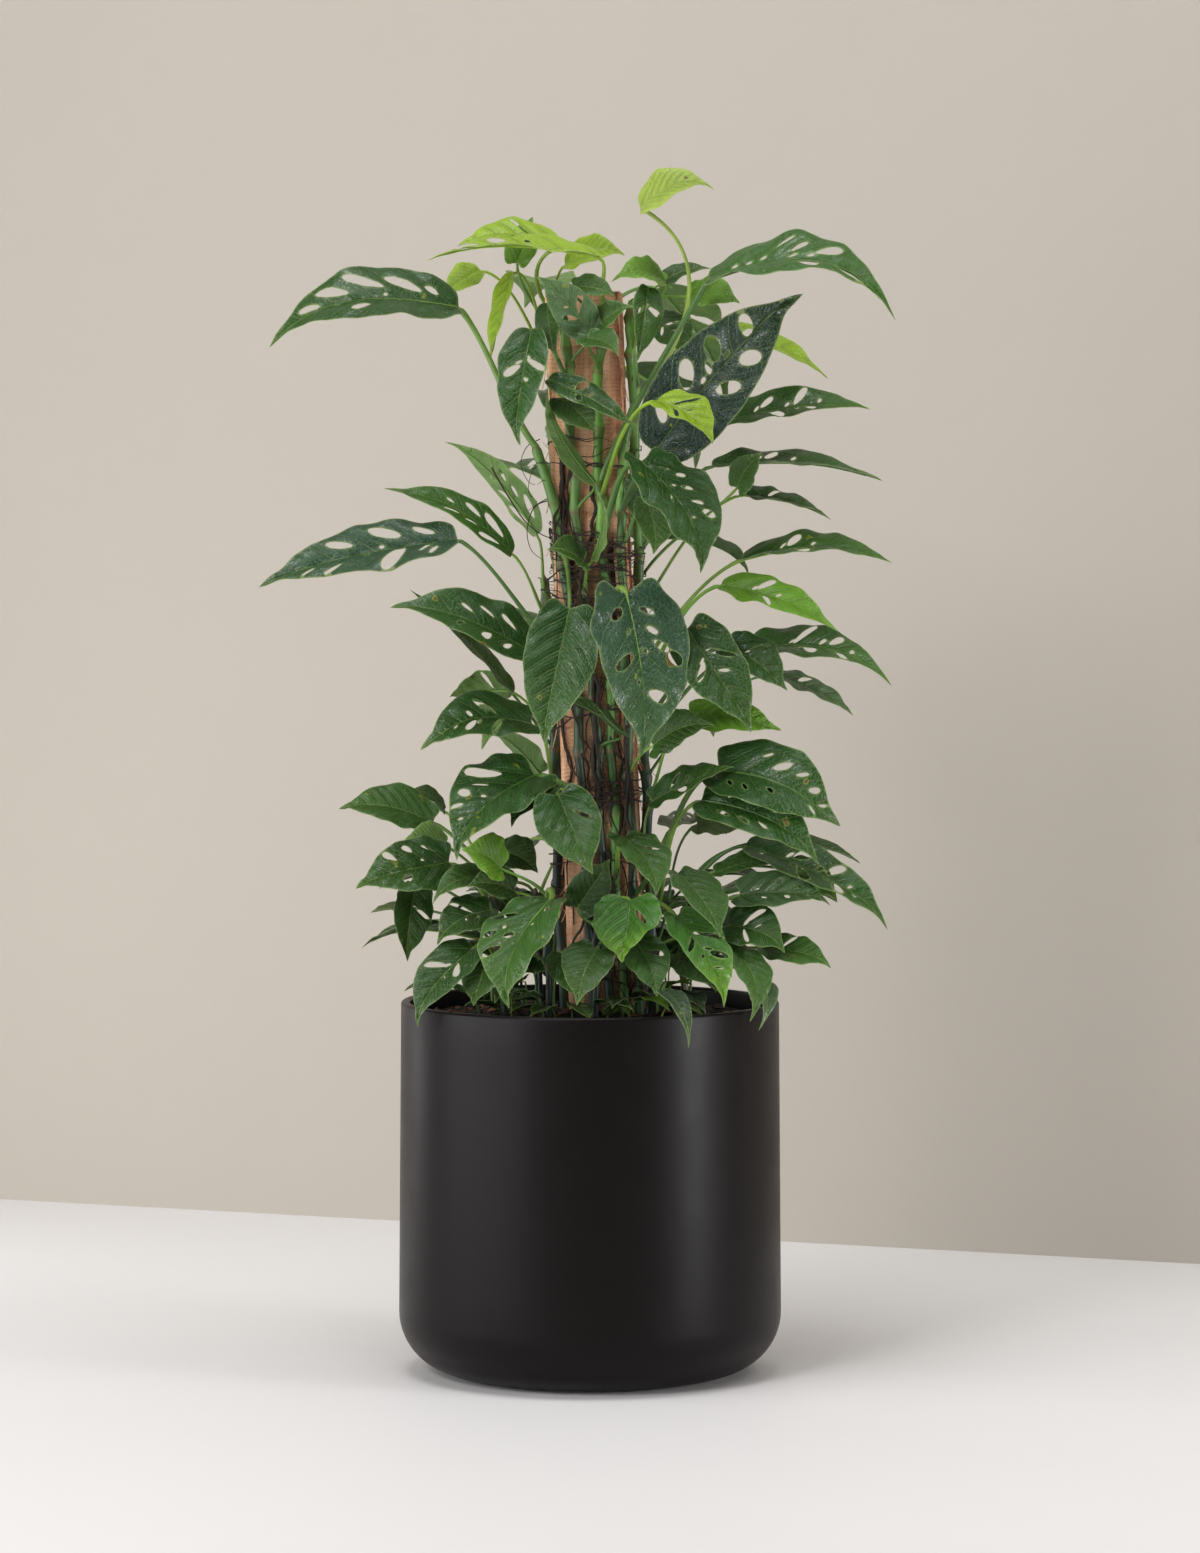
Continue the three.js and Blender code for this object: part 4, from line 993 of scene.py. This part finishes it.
def curved(points, spacing):
    """A smooth line through a list of points."""
    p = np.array(points, float)
    p = np.concatenate([[2 * p[0] - p[1]], p, [2 * p[-1] - p[-2]]])
    line = []
    for a, b, c, d in zip(p, p[1:], p[2:], p[3:]):
        steps = max(2, int(np.linalg.norm(c - b) / spacing))
        for t in np.linspace(0, 1, steps, endpoint=False):
            slow = (2 * a - 5 * b + 4 * c - d) * t**2
            line.append(0.5 * ((2 * b) + (c - a) * t + slow + (3 * b - a - 3 * c + d) * t**3))
    line.append(p[-2])
    return np.array(line)


# A point of a plant is marked with its colour, where it is on its blade, how the blade's veins
# run there, whether it is on a cut edge, and whether it is on the blade's back.
MARKS = {"tint": (4,), "blade": (3,), "ribs": (3,), "rim": (), "under": ()}


class Growth:
    """A plant's mesh as it grows."""

    def __init__(self):
        self.points, self.faces, self.which = [], [], []
        self.marks = {label: [] for label in MARKS}

    def add(self, points, faces, material, **marks):
        first = sum(len(p) for p in self.points)
        self.points.append(points)
        self.faces += [tuple(first + int(i) for i in face) for face in faces]
        self.which += [material] * len(faces)
        for label, shape in MARKS.items():
            values = np.broadcast_to(marks.get(label, 0.0), (len(points), *shape))
            self.marks[label].append(values)


def between(a, b, share):
    return np.array(a) * (1 - share) + np.array(b) * share


def bell(values, width):
    """1 where the values are 0, falling off on both sides."""
    return np.exp(-((values / width) ** 2))


def swept(leaf, s):
    """How far a blade's midrib swings to one side along it, with its tip a little hooked."""
    swing = 0.045 * np.sin(math.pi * s) * math.sin(leaf["phase"] * 1.3)
    hook = 0.05 * np.clip((s - 0.78) / 0.22, 0, 1) ** 2 * math.sin(leaf["phase"] * 2.7)
    return (swing + hook) * leaf["length"]


def grow_blade(growth, leaf):
    """The blade: both its skins and the cut edges that join them."""
    points, triangles = cut_blade(leaf)
    x, y = points.T
    length, half, seed = leaf["length"], leaf["wide"] / 2, leaf["phase"]
    sided = set()
    for a, b, c in triangles.tolist():
        sided |= {(a, b), (b, c), (c, a)}
    cut = [(a, b) for a, b in sided if (b, a) not in sided]
    rim = np.zeros(len(points))
    rim[[a for a, _ in cut]] = 1

    def patchy(along, across, seed):
        """Unevenness from -1 to 1 over the blade, with features of a given size."""
        return np.array([noise.noise(Vector((px / along, py / across, seed))) for px, py in points])

    s = np.clip(x / length, 0, 1)
    share = np.clip(np.abs(y) / np.maximum(half * half_width(x / length), 1.0), 0, 1)
    run = 0.2 if leaf["holes"] else 0.13
    start = np.where(y > 0, 0.07, 0.117)
    bent = (x - 0.84 * np.abs(y) - 0.28 * y**2 / half) / length
    vein = (bent - start) / run + 0.5 + patchy(24, 30, seed + 9) * 0.16
    puffed = 0.05 + 0.022 * math.sin(seed * 0.9)
    quilt = puffed * half * (0.5 - 0.5 * np.cos(2 * math.pi * vein)) * np.sin(math.pi * share**0.75)
    crumple = patchy(15, 15, seed) * 0.07 * half
    pucker = patchy(6, 6, seed) * 0.4
    loose = 0.3 if leaf["green"] in ("pale", "lime") else 1.0
    flutter = loose * (0.035 + 0.045 * abs(math.sin(seed * 0.7))) * half * share**3
    flutter = flutter * np.sin(2 * math.pi * 4.1 * s + seed * 3)
    twist = 0.24 * math.sin(seed * 1.9) * (s - 0.35) * y
    lift = (quilt + crumple * share + pucker + flutter * (1 - s) + twist)[:, None] * leaf["up"]
    middle = on_blade(leaf, x, y) + lift + swept(leaf, s)[:, None] * leaf["side"]
    thick = (HALF_THICK - THINNER_EDGE * rim)[:, None] * leaf["up"]

    lively = 1 + 0.1 * math.sin(seed * 5.3)
    young = s**2 * (0.06 + 0.12 * max(0, math.sin(seed * 2.1)))
    if leaf["green"] == "tipped":
        young = 0.85 * np.clip((s - 0.5) / 0.45, 0, 1)
    tint = np.array(GREENS[leaf["green"]]) * (lively, lively, lively, 1)
    tint = between(tint[None], np.array(GREENS["tip"])[None], young[:, None])
    blade = np.stack([x, y, np.full(len(x), seed * 50)], 1)
    ribs = np.stack([vein, np.full(len(x), run * length * math.sin(VEIN_SLANT)), share], 1)
    marks = {"tint": tint, "blade": blade, "ribs": ribs, "rim": rim}
    growth.add(middle + thick, triangles, 0, **marks)
    growth.add(middle - thick, triangles[:, ::-1], 0, under=1.0, **marks)
    under = len(points)
    first = sum(len(p) for p in growth.points) - 2 * under
    growth.faces += [(first + b, first + a, first + a + under, first + b + under) for a, b in cut]
    growth.which += [0] * len(cut)


def grow_stalk(growth, leaf, root, outward):
    """The leaf's stalk: sheathed along its lower half, with a bend like a knuckle at the blade,
    and running on below the blade as its midrib."""
    base, stout = leaf["base"], leaf["stout"]
    length = np.linalg.norm(base - root)
    if leaf["via"]:
        first, second = (np.array(p) for p in leaf["via"])
    else:
        arrive = unit(unit(base - root) + leaf["along"])
        leave = unit(outward * 0.5 + (0, 0, 0.8))
        first, second = root + leave * length * 0.36, base - arrive * length * 0.3
    t = np.linspace(1, 0, max(8, int(length / 5)))[:, None]
    line = root * (1 - t) ** 3 + 3 * first * t * (1 - t) ** 2
    line = line + 3 * second * t**2 * (1 - t) + base * t**3
    rib_x = np.linspace(0.9, 0.02, RIB_STEPS) * leaf["length"]
    sideways = swept(leaf, rib_x / leaf["length"])[:, None] * leaf["side"]
    rib = on_blade(leaf, rib_x, np.zeros(RIB_STEPS)) - leaf["up"] * 0.5 + sideways
    line = np.concatenate([rib, line[1:]])
    radius = next(r for over, r in STALK_RADII if leaf["wide"] > over) * stout
    u = 1 - t[1:, 0]
    sheath = 0.24 / (1 + np.exp(-(u - 0.5) * 22))
    thickness = 0.86 + 0.16 * bell(u - 0.06, 0.05) + sheath
    radii = np.concatenate([np.linspace(0.16, 0.62, RIB_STEPS) * radius, radius * thickness])
    sides = 10 if radius > 2 else 8
    points, faces = tube(line, radii, sides, leaf["side"], 0.2)
    fresh = 0.5 + 0.5 * math.sin(leaf["phase"] * 1.7)
    pale = between(tone(0x4F7434), tone(0x8DB040), fresh)
    paler = 0.7 if leaf["green"] in ("dark", "mid", "tipped", "blue") and stout == 1 else 0.35
    green = between(GREENS[leaf["green"]], pale, paler)
    fade = 0.35 * np.concatenate([np.zeros(RIB_STEPS), u])[:, None]
    tint = between(green[None], np.array(tone(0x4C6A3C))[None], fade)
    growth.add(points, faces, 1, tint=np.repeat(tint, sides, axis=0))


def grow_stem(growth, name, stem, rows):
    """The stem: smooth and bluish green, with a brown ring where each leaf left it."""
    radius, sides = STEM["shoot" if name.startswith("shoot") else "vine"], STEM["sides"]
    low, high = np.array(stem[0], float), np.array(stem[1], float)
    foot = high + (low - high) * (high[2] - STEM["foot"]) / (high[2] - low[2])
    line = curved([tuple(foot), *stem], 3.0)
    rings = sorted(row[1] for row in rows)
    knots = list(rings)
    for a, b in zip([STEM["foot"] + 60, *rings], rings):
        parts = int((b - a) / STEM["internode"]) + 1
        knots += [a + (b - a) * k / parts for k in range(1, parts)]
    knots.sort()
    z = line[:, 2]
    near = np.min(np.abs(z[:, None] - np.array(knots)[None]), axis=1)
    radii = radius * (0.86 + 0.27 * bell(near, 4.0))
    radii[-3:] *= (0.85, 0.6, 0.3)
    line[:, 0] += np.interp(z, knots, [1.3 * (-1) ** k for k in range(len(knots))])
    internode = np.searchsorted(knots, z)
    radii = radii * (1 + 0.09 * np.sin(internode * 2.3 + len(rows)))
    points, faces = tube(line, radii, sides, np.array([1.0, 0, 0]))
    old = np.array(tone(OLD_STEMS.get(name, OLD_STEMS["others"])))
    grown = np.clip((z - 400) / 480, 0, 1)[:, None] ** 1.5
    tint = between(old, tone(0x66923C), grown)
    light = 1.1 + 0.25 * np.sin(z / 23 + 3 * len(rows))
    light = light + 0.4 * np.sin(internode * 1.9 + 2 * len(rows))
    tint = between(tint * light[:, None], tone(0x6A5236), (0.75 * bell(near, 1.6))[:, None])
    growth.add(points, faces, 1, tint=np.repeat(tint, sides, axis=0))


def grow_leaf(growth, row, root, number, stout=1, skin=None):
    """One leaf with its stalk, from its row. A leaf of a plant with a skin settles to it."""
    leaf = dict(zip(ROW, row), phase=2.4 * number, stout=stout)
    leaf["base"], leaf["tip"] = np.array(leaf["base"], float), np.array(leaf["tip"], float)
    outward = unit((leaf["base"] - root) * (1, 1, 0))
    leaf = set_blade(leaf) if skin is None else settled(leaf, skin)
    grow_stalk(growth, leaf, root, outward)
    grow_blade(growth, leaf)


def make_plant(name, growth, nodes=()):
    """The piece that a plant's growth comes to."""
    marks = {label: np.concatenate(values) for label, values in growth.marks.items()}
    make_piece(name, np.concatenate(growth.points), growth.faces, [leaf_skin, stalk_skin],
               "foliage", nodes, growth.which, marks, crease=62)


leaf_skin, tree = new_material("leaf_skin")
green, blade = attribute(tree, "tint")["Color"], attribute(tree, "blade")["Vector"]
under, rim = attribute(tree, "under")["Fac"], attribute(tree, "rim")["Fac"]
ribs = node(tree, "SeparateXYZ", Vector=attribute(tree, "ribs")["Vector"]).outputs
off_rib = maths(tree, "ABSOLUTE", node(tree, "SeparateXYZ", Vector=blade).outputs["Y"])
midrib = ramp(tree, off_rib, 0.25, 0.95, 1.0, 0.0)


def side_veins(each, wide):
    """Lines where the vein count passes a whole number, after it is multiplied by each."""
    count = maths(tree, "MULTIPLY", ribs["X"], each)
    off = maths(tree, "PINGPONG", count, 0.5)
    spread = maths(tree, "MULTIPLY", off, maths(tree, "DIVIDE", ribs["Y"], each))
    return ramp(tree, spread, wide * 0.25, wide, 1.0, 0.0)


small_veins = maths(tree, "MULTIPLY", side_veins(4.0, 0.55), 0.35)
all_veins = maths(tree, "MAXIMUM", side_veins(1.0, 0.8), small_veins)
veins = maths(tree, "MULTIPLY", all_veins, ramp(tree, ribs["Z"], 0.3, 1.0, 1.0, 0.35))
off_edge = ramp(tree, ribs["Z"], 0.55, 1.0, 1.0, 0.0)
# Painted shade: a band along each main side vein, where the quilted blade dips into a furrow, in
# which the skin is darkened to stand in for the shade that falls there.
furrow_shade = maths(tree, "MULTIPLY", side_veins(1.0, 3.6), off_edge)
net = node(tree, "TexVoronoi", {"feature": "DISTANCE_TO_EDGE"}, Vector=blade, Scale=0.36)
mesh_veins = ramp(tree, net.outputs["Distance"], 0.02, 0.16, 1.0, 0.0)
shade, height = mottled(tree, blade, 22.0, 0.3)
specks = node(tree, "TexNoise", Vector=blade, Scale=1.6, Detail=1.0).outputs[0]
dust = ramp(tree, specks, 0.7, 0.78, 0.0, 0.3)
blotches = node(tree, "TexNoise", Vector=blade, Scale=0.055, Detail=2.0, Roughness=0.5).outputs[0]
skin = shaded(tree, green, shade)
# The near-black tone of the painted shade in the furrows.
furrow_shade_tone = mixed(tree, 0.72, skin, tone(0x06140A))
lighter = mixed(tree, 0.5, green, tone(0x93AC58))
for mask, share, colour in (
    (furrow_shade, 0.27, furrow_shade_tone), (veins, 0.4, lighter), (mesh_veins, 0.15, lighter),
    (midrib, 0.6, lighter),
):
    skin = mixed(tree, maths(tree, "MULTIPLY", mask, share), skin, colour)
cut_edge = maths(tree, "MULTIPLY", maths(tree, "POWER", rim, 2.5), 0.68)
skin = mixed(tree, cut_edge, skin, mixed(tree, 0.7, skin, tone(0xA9BE78)))
for low, high, most, colour in ((0.715, 0.735, 0.7, 0x8E9A35), (0.74, 0.755, 0.9, 0x5E4128)):
    skin = mixed(tree, ramp(tree, blotches, low, high, 0.0, most), skin, tone(colour))
skin = mixed(tree, dust, skin, tone(0x8A9A7E))
skin = mixed(tree, under, skin, mixed(tree, 0.28, skin, tone(0x748A60)))
rough = maths(tree, "MULTIPLY_ADD", under, 0.2, ramp(tree, height, 0.3, 0.7, 0.24, 0.36))
raised = maths(tree, "MULTIPLY", maths(tree, "MAXIMUM", veins, midrib), -1.0)
raised = maths(tree, "MULTIPLY_ADD", mesh_veins, -0.35, raised)
raised = maths(tree, "MULTIPLY_ADD", height, 1.3, raised)
shader = dress(tree, skin, rough, 0.8, 0.0007, raised)
through = node(tree, "BsdfTranslucent", Color=mixed(tree, 0.4, skin, tone(0x9CC23A)))
put_out(tree, 0.2, shader, through)

stalk_skin, tree = new_material("stalk_skin")
where = placed(tree)
shade, height = mottled(tree, where, 0.009, 0.45)
colour, rough = attribute(tree, "tint")["Color"], ramp(tree, height, 0.3, 0.7, 0.38, 0.55)
dress(tree, shaded(tree, colour, shade), rough, 0.4, 0.0004, height)

plants = {name: read_plant(table) for name, table in VINES.items()}
for name, (stem, rule) in REAR_VINES.items():
    plants[name] = (stem, rear_rows(stem, rule))
number = 0
for name, (stem, rows) in plants.items():
    growth = Growth()
    grow_stem(growth, name, stem, rows)
    skin_points = np.array([v.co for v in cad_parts[name].data.vertices]) * 1000
    for row in rows:
        grow_leaf(growth, row, on_stem(stem, row[1]), number, skin=skin_points)
        number += 1
    make_plant(name + "_grown", growth, [name])

# ---- the young shoots -----------------------------------------------------------------------
# Small leaves that have come up since from buried buds, all over the mix between the stems. They
# stand on short stalks of their own, rooted in the peat, those behind the board a little taller.

# Each part of the mix: how many leaves, and from and to how far from the middle they root, how
# high their blades are, how long, how far the tip drops as a share of that, and how much of the
# length reaches out. Then the directions in degrees: each one's, or where they start and sweep.
SPROUTS = {
    "front": (15, (40, 92), (2, 20), (36, 56), (-0.2, 0.35), 0.8),
    "sides": (7, (50, 92), (8, 44), (40, 60), (-0.3, 0.75), 1),
    "rear": (23, (34, 90), (24, 105), (56, 84), (-0.3, 0.75), 1),
}
SPROUT_SIDES = (-18, 10, 38, 142, 168, 195, 205)
SPROUT_SWEEPS = {"front": (-160, 140), "rear": (12, 146)}
SPROUT_GREENS = ("mid", "dark", "mid", "dark", "bright", "mid", "deep")
SPROUT_ROOT, SPROUT_STOUT = 283, 0.62
RIM_CLEARANCE = {"within": 8, "above": 10}
rng = np.random.default_rng(23)
draw = rng.uniform


def sprout_leaf(part, k):
    """Where a young leaf is rooted, and its row."""
    count, away, lifts, sizes, drops, reaching = SPROUTS[part]
    if part == "sides":
        angle = SPROUT_SIDES[k] + draw(-6, 6)
    else:
        first, sweep = SPROUT_SWEEPS[part]
        angle = first + sweep * (k + draw(0.2, 0.8)) / count
    r, lift, size = (draw(*span) for span in (away, lifts, sizes))
    a = math.radians(angle)
    root = np.array([math.cos(a), math.sin(a), 0]) * r + (0, 0, SPROUT_ROOT)
    heading = a + draw(-0.7, 0.7)
    ahead = np.array([math.cos(heading), math.sin(heading), 0])
    base = root + ahead * draw(4, 12) + (0, 0, 8 + lift)
    drop = draw(*drops)
    tip = base + ahead * size * math.sqrt(1 - drop * drop) * reaching - (0, 0, size * drop)
    if math.hypot(tip[0], tip[1]) > MIX["radius"] - RIM_CLEARANCE["within"]:
        tip[2] = max(tip[2], POT["height"] + RIM_CLEARANCE["above"])
    face = (draw(28, 70), 90 + math.degrees(heading))
    green = SPROUT_GREENS[int(rng.integers(7))]
    green = ("dark", "mid", "deep")[k % 3] if part == "rear" else green
    wide = np.linalg.norm(tip - base) * draw(0.5, 0.62)
    arch, holes = draw(0.06, 0.16), int(rng.integers(0, 2))
    return root, (green, 0, base, tip, wide, face, arch, holes, ())


growth = Growth()
for part, (count, *_) in SPROUTS.items():
    for k in range(count):
        root, row = sprout_leaf(part, k)
        grow_leaf(growth, row, root, number, SPROUT_STOUT)
        number += 1
make_plant("young_shoots", growth)

# ---- the aerial roots -----------------------------------------------------------------------
# Dark wiry roots from the rings of the stems. Some grow down over the board between the stems,
# and bundles of them wrap round the board and hold the vines to it.

# Stout roots on the board's face: where each starts, its length, its radius and its sideways drift.
STOUT_ROOTS = (
    (-22, 742, 128, 2.4, 0.05), (1, 716, 120, 1.7, -0.06), (22, 668, 130, 2.0, 0.05),
    (-27, 598, 150, 1.9, 0.08), (8, 560, 150, 2.1, -0.05), (33, 520, 130, 1.8, 0.0),
    (-6, 452, 140, 2.2, 0.1), (20, 420, 120, 1.9, 0.1),
)
THIN_ROOTS, STUBS = 16, 44
# Stray roots off the board's left edge, as points along each, and its radius.
STRAY_ROOTS = {
    "-78 -34 725, -66 -34 704, -52 -32 683, -40 -28 673, -31 -21 669": 0.7,
    "-40 -16 748, -50 -22 742, -55 -24 728, -49 -20 714, -44 -17 712": 0.4,
    "-38 -18 730, -46 -24 722, -49 -22 706, -42 -18 698": 0.4,
    "-30 -19 700, -44 -26 694, -50 -24 676, -47 -20 660, -38 -17 652": 0.5,
    "30 -22 640, 44 -30 632, 50 -26 615, 42 -20 604": 0.45,
    "-28 -20 560, -42 -28 548, -46 -26 530, -38 -20 516": 0.5,
}
# Bundles of roots round the board: the height of each, how high it is, and how many roots.
BUNDLES = (
    (654, 44, 34), (612, 22, 16), (466, 22, 18), (735, 30, 8), (550, 44, 8), (400, 40, 8),
    (330, 40, 8),
)
rng = np.random.default_rng(5)
draw = rng.uniform
vine_stems = [stem for name, (stem, _) in plants.items() if name.startswith("vine")]


def stems_at(z):
    """Where the climbing stems stand at a height."""
    return [on_stem(stem, z) for stem in vine_stems if z < stem[-1][2]]


def over_stems(x, z, radius):
    """How far forward a root lies at a place on the board's face: on the board or over a stem."""
    y = -STAKE["thick"] / 2 - radius
    for stem in stems_at(z):
        gap = abs(stem[0] - x)
        if stem[1] < 0 and gap < STEM["vine"] + 1.5:
            y = min(y, stem[1] - math.sqrt(max((STEM["vine"] + radius) ** 2 - gap**2, 1)))
    return y


class Tangle:
    """Roots gathered into one mesh."""

    def __init__(self):
        self.points, self.faces = [], []

    def add(self, line, thickest, thinnest, sides=6):
        """Adds a root along a line, with its radius at its start, or a list of its radii, and the
        share of it that is left at its end."""
        radii = thickest * np.linspace(1, thinnest, len(line))
        points, faces = tube(line, radii, sides, np.array([1.0, 0.13, 0.21]))
        first = len(self.points)
        self.faces += [tuple(first + i for i in face) for face in faces]
        self.points += [tuple(p) for p in points]


def creeping(x, top, length, drift, seed):
    """The line of a root that feels its way down the board's face."""
    line = []
    for step in np.arange(0, length, 4.0):
        z = top - step
        if z < MIX["edge"] + 1:
            break
        px = x + drift * step + 11 * lumps(seed, step, 0, 44) + 3.5 * lumps(seed, step, 9, 13)
        px = min(max(px, stake_left(z) + 2), stake_left(z) + STAKE["wide"] - 5)
        y = over_stems(px, z, 1.2) - 1.4 * abs(lumps(seed, step, 5, 22))
        line.append((px, y, z + 1.5 * lumps(seed, step, 3, 9)))
    line = np.array(line)
    for _ in range(3):
        line[1:-1, 1] = (line[:-2, 1] + line[1:-1, 1] * 2 + line[2:, 1]) / 4
    return line


def hanging_roots(tangle, stout, thin):
    """Stout roots at given places, which fork, and thin ones between them."""
    for x, top, length, radius, drift in stout:
        seed = draw(0, 99)
        line = creeping(x, top, length, drift, seed)
        knobbly = 1 + 0.12 * np.sin(np.arange(len(line)) * 1.3 + seed)
        tangle.add(line, radius * knobbly, 0.45, 8)
        for share in (0.3, 0.55):
            fork = line[int(share * len(line))]
            lean = draw(0.15, 0.4) * (1 if draw() < 0.5 else -1)
            long, seed = length * draw(0.3, 0.6), draw(0, 99)
            branch = creeping(fork[0], fork[2], long, lean, seed)
            branch[:, 0] += fork[0] - branch[0, 0]
            tangle.add(branch, radius * 0.6, 0.4)
    for _ in range(thin):
        top = draw(340, 790)
        x = stake_left(top) + draw(4, STAKE["wide"] - 8)
        length, drift = draw(40, 150), draw(-0.35, 0.35)
        line = creeping(x, top, length, drift, draw(0, 99))
        if len(line) > 4:
            tangle.add(line, draw(0.5, 1.1), 0.4)


def stubs(tangle, count):
    """Short dry roots that stand out from the rings of the stems and took hold of nothing."""
    t = np.linspace(0, 1, 7)[:, None]
    for k in range(count):
        stem = vine_stems[k % len(vine_stems)]
        root = on_stem(stem, draw(340, stem[-1][2] - 8))
        side = draw(-1, 1) * 2.2 + (math.pi if stem[1][1] > 0 else 0)
        way = np.array([math.sin(side), -math.cos(side), draw(-0.7, 0.35)])
        length, curl = draw(7, 20), draw(-9, 3)
        bend = np.array([draw(-3, 3), draw(-3, 3), curl])
        line = root + way * (3.4 + length * t) + bend * t**2
        tangle.add(line, draw(0.3, 0.5), 0.4, 5)


def loop_round(level):
    """A line drawn tight round the board and the stems against it at a height."""
    left, half, wide = stake_left(level), STAKE["thick"] / 2, STAKE["wide"]
    around = [(left, -half), (left + wide, -half), (left + wide, half), (left, half)]
    for stem in stems_at(level):
        if left - 12 < stem[0] < left + wide + 12:
            around += [
                (stem[0] + STEM["vine"] * math.cos(a), stem[1] + STEM["vine"] * math.sin(a))
                for a in np.linspace(0, 2 * math.pi, 10, endpoint=False)
            ]
    hull = [around[i] for i in geometry.convex_hull_2d([Vector(p) for p in around])]
    return evenly([*hull, hull[0]], 3.0, 30)[:-1]


def wrapping_roots(tangle, bundles):
    """Wiry roots drawn slantwise round the board and the stems that stand against it."""
    for z, high, count in (bundle for bundle in bundles for _ in range(bundle[2])):
        level, slope = z + draw(-0.5, 0.5) * high, draw(-0.3, 0.3)
        radius, seed = draw(0.4, 1.0), draw(0, 99)
        loop = loop_round(level)
        middle = loop.mean(0)
        front = stake_left(level) + draw(0.1, 0.9) * STAKE["wide"]
        centre = int(np.argmin(np.abs(loop[:, 0] - front) + 120 * (loop[:, 1] > 0)))
        if draw() < 0.3:
            centre = int(rng.integers(len(loop)))
        reach = int(len(loop) * draw(0.1, 0.42))
        line = []
        for k in range(reach):
            p = loop[(centre - reach // 2 + k) % len(loop)]
            off = radius + 0.3 + 2.2 * abs(lumps(seed, k, 0, 4))
            rise = slope * 3.0 * (k - reach / 2) + 7 * lumps(seed, k, 9, 7)
            rise += 2 * lumps(seed, k, 4, 2.6)
            line.append((*(p + unit(p - middle) * off), level + rise))
        tangle.add(np.array(line), radius, 0.45)


hanging, wrapping = Tangle(), Tangle()
hanging_roots(hanging, STOUT_ROOTS, THIN_ROOTS)
stubs(hanging, STUBS)
for points, radius in STRAY_ROOTS.items():
    hanging.add(curved(path(points), 2.5), radius, 0.5)
wrapping_roots(wrapping, BUNDLES)

root_skin, tree = new_material("root_skin")
where = placed(tree)
shade, height = mottled(tree, where, 0.005, 0.8)
dress(tree, shaded(tree, tone(0x2B1D15), shade), 0.75, 0.6, 0.0005, height)
make_piece("aerial_roots", hanging.points, hanging.faces, [root_skin], "stake")
make_piece("wrapping_roots", wrapping.points, wrapping.faces, [root_skin], "stake")
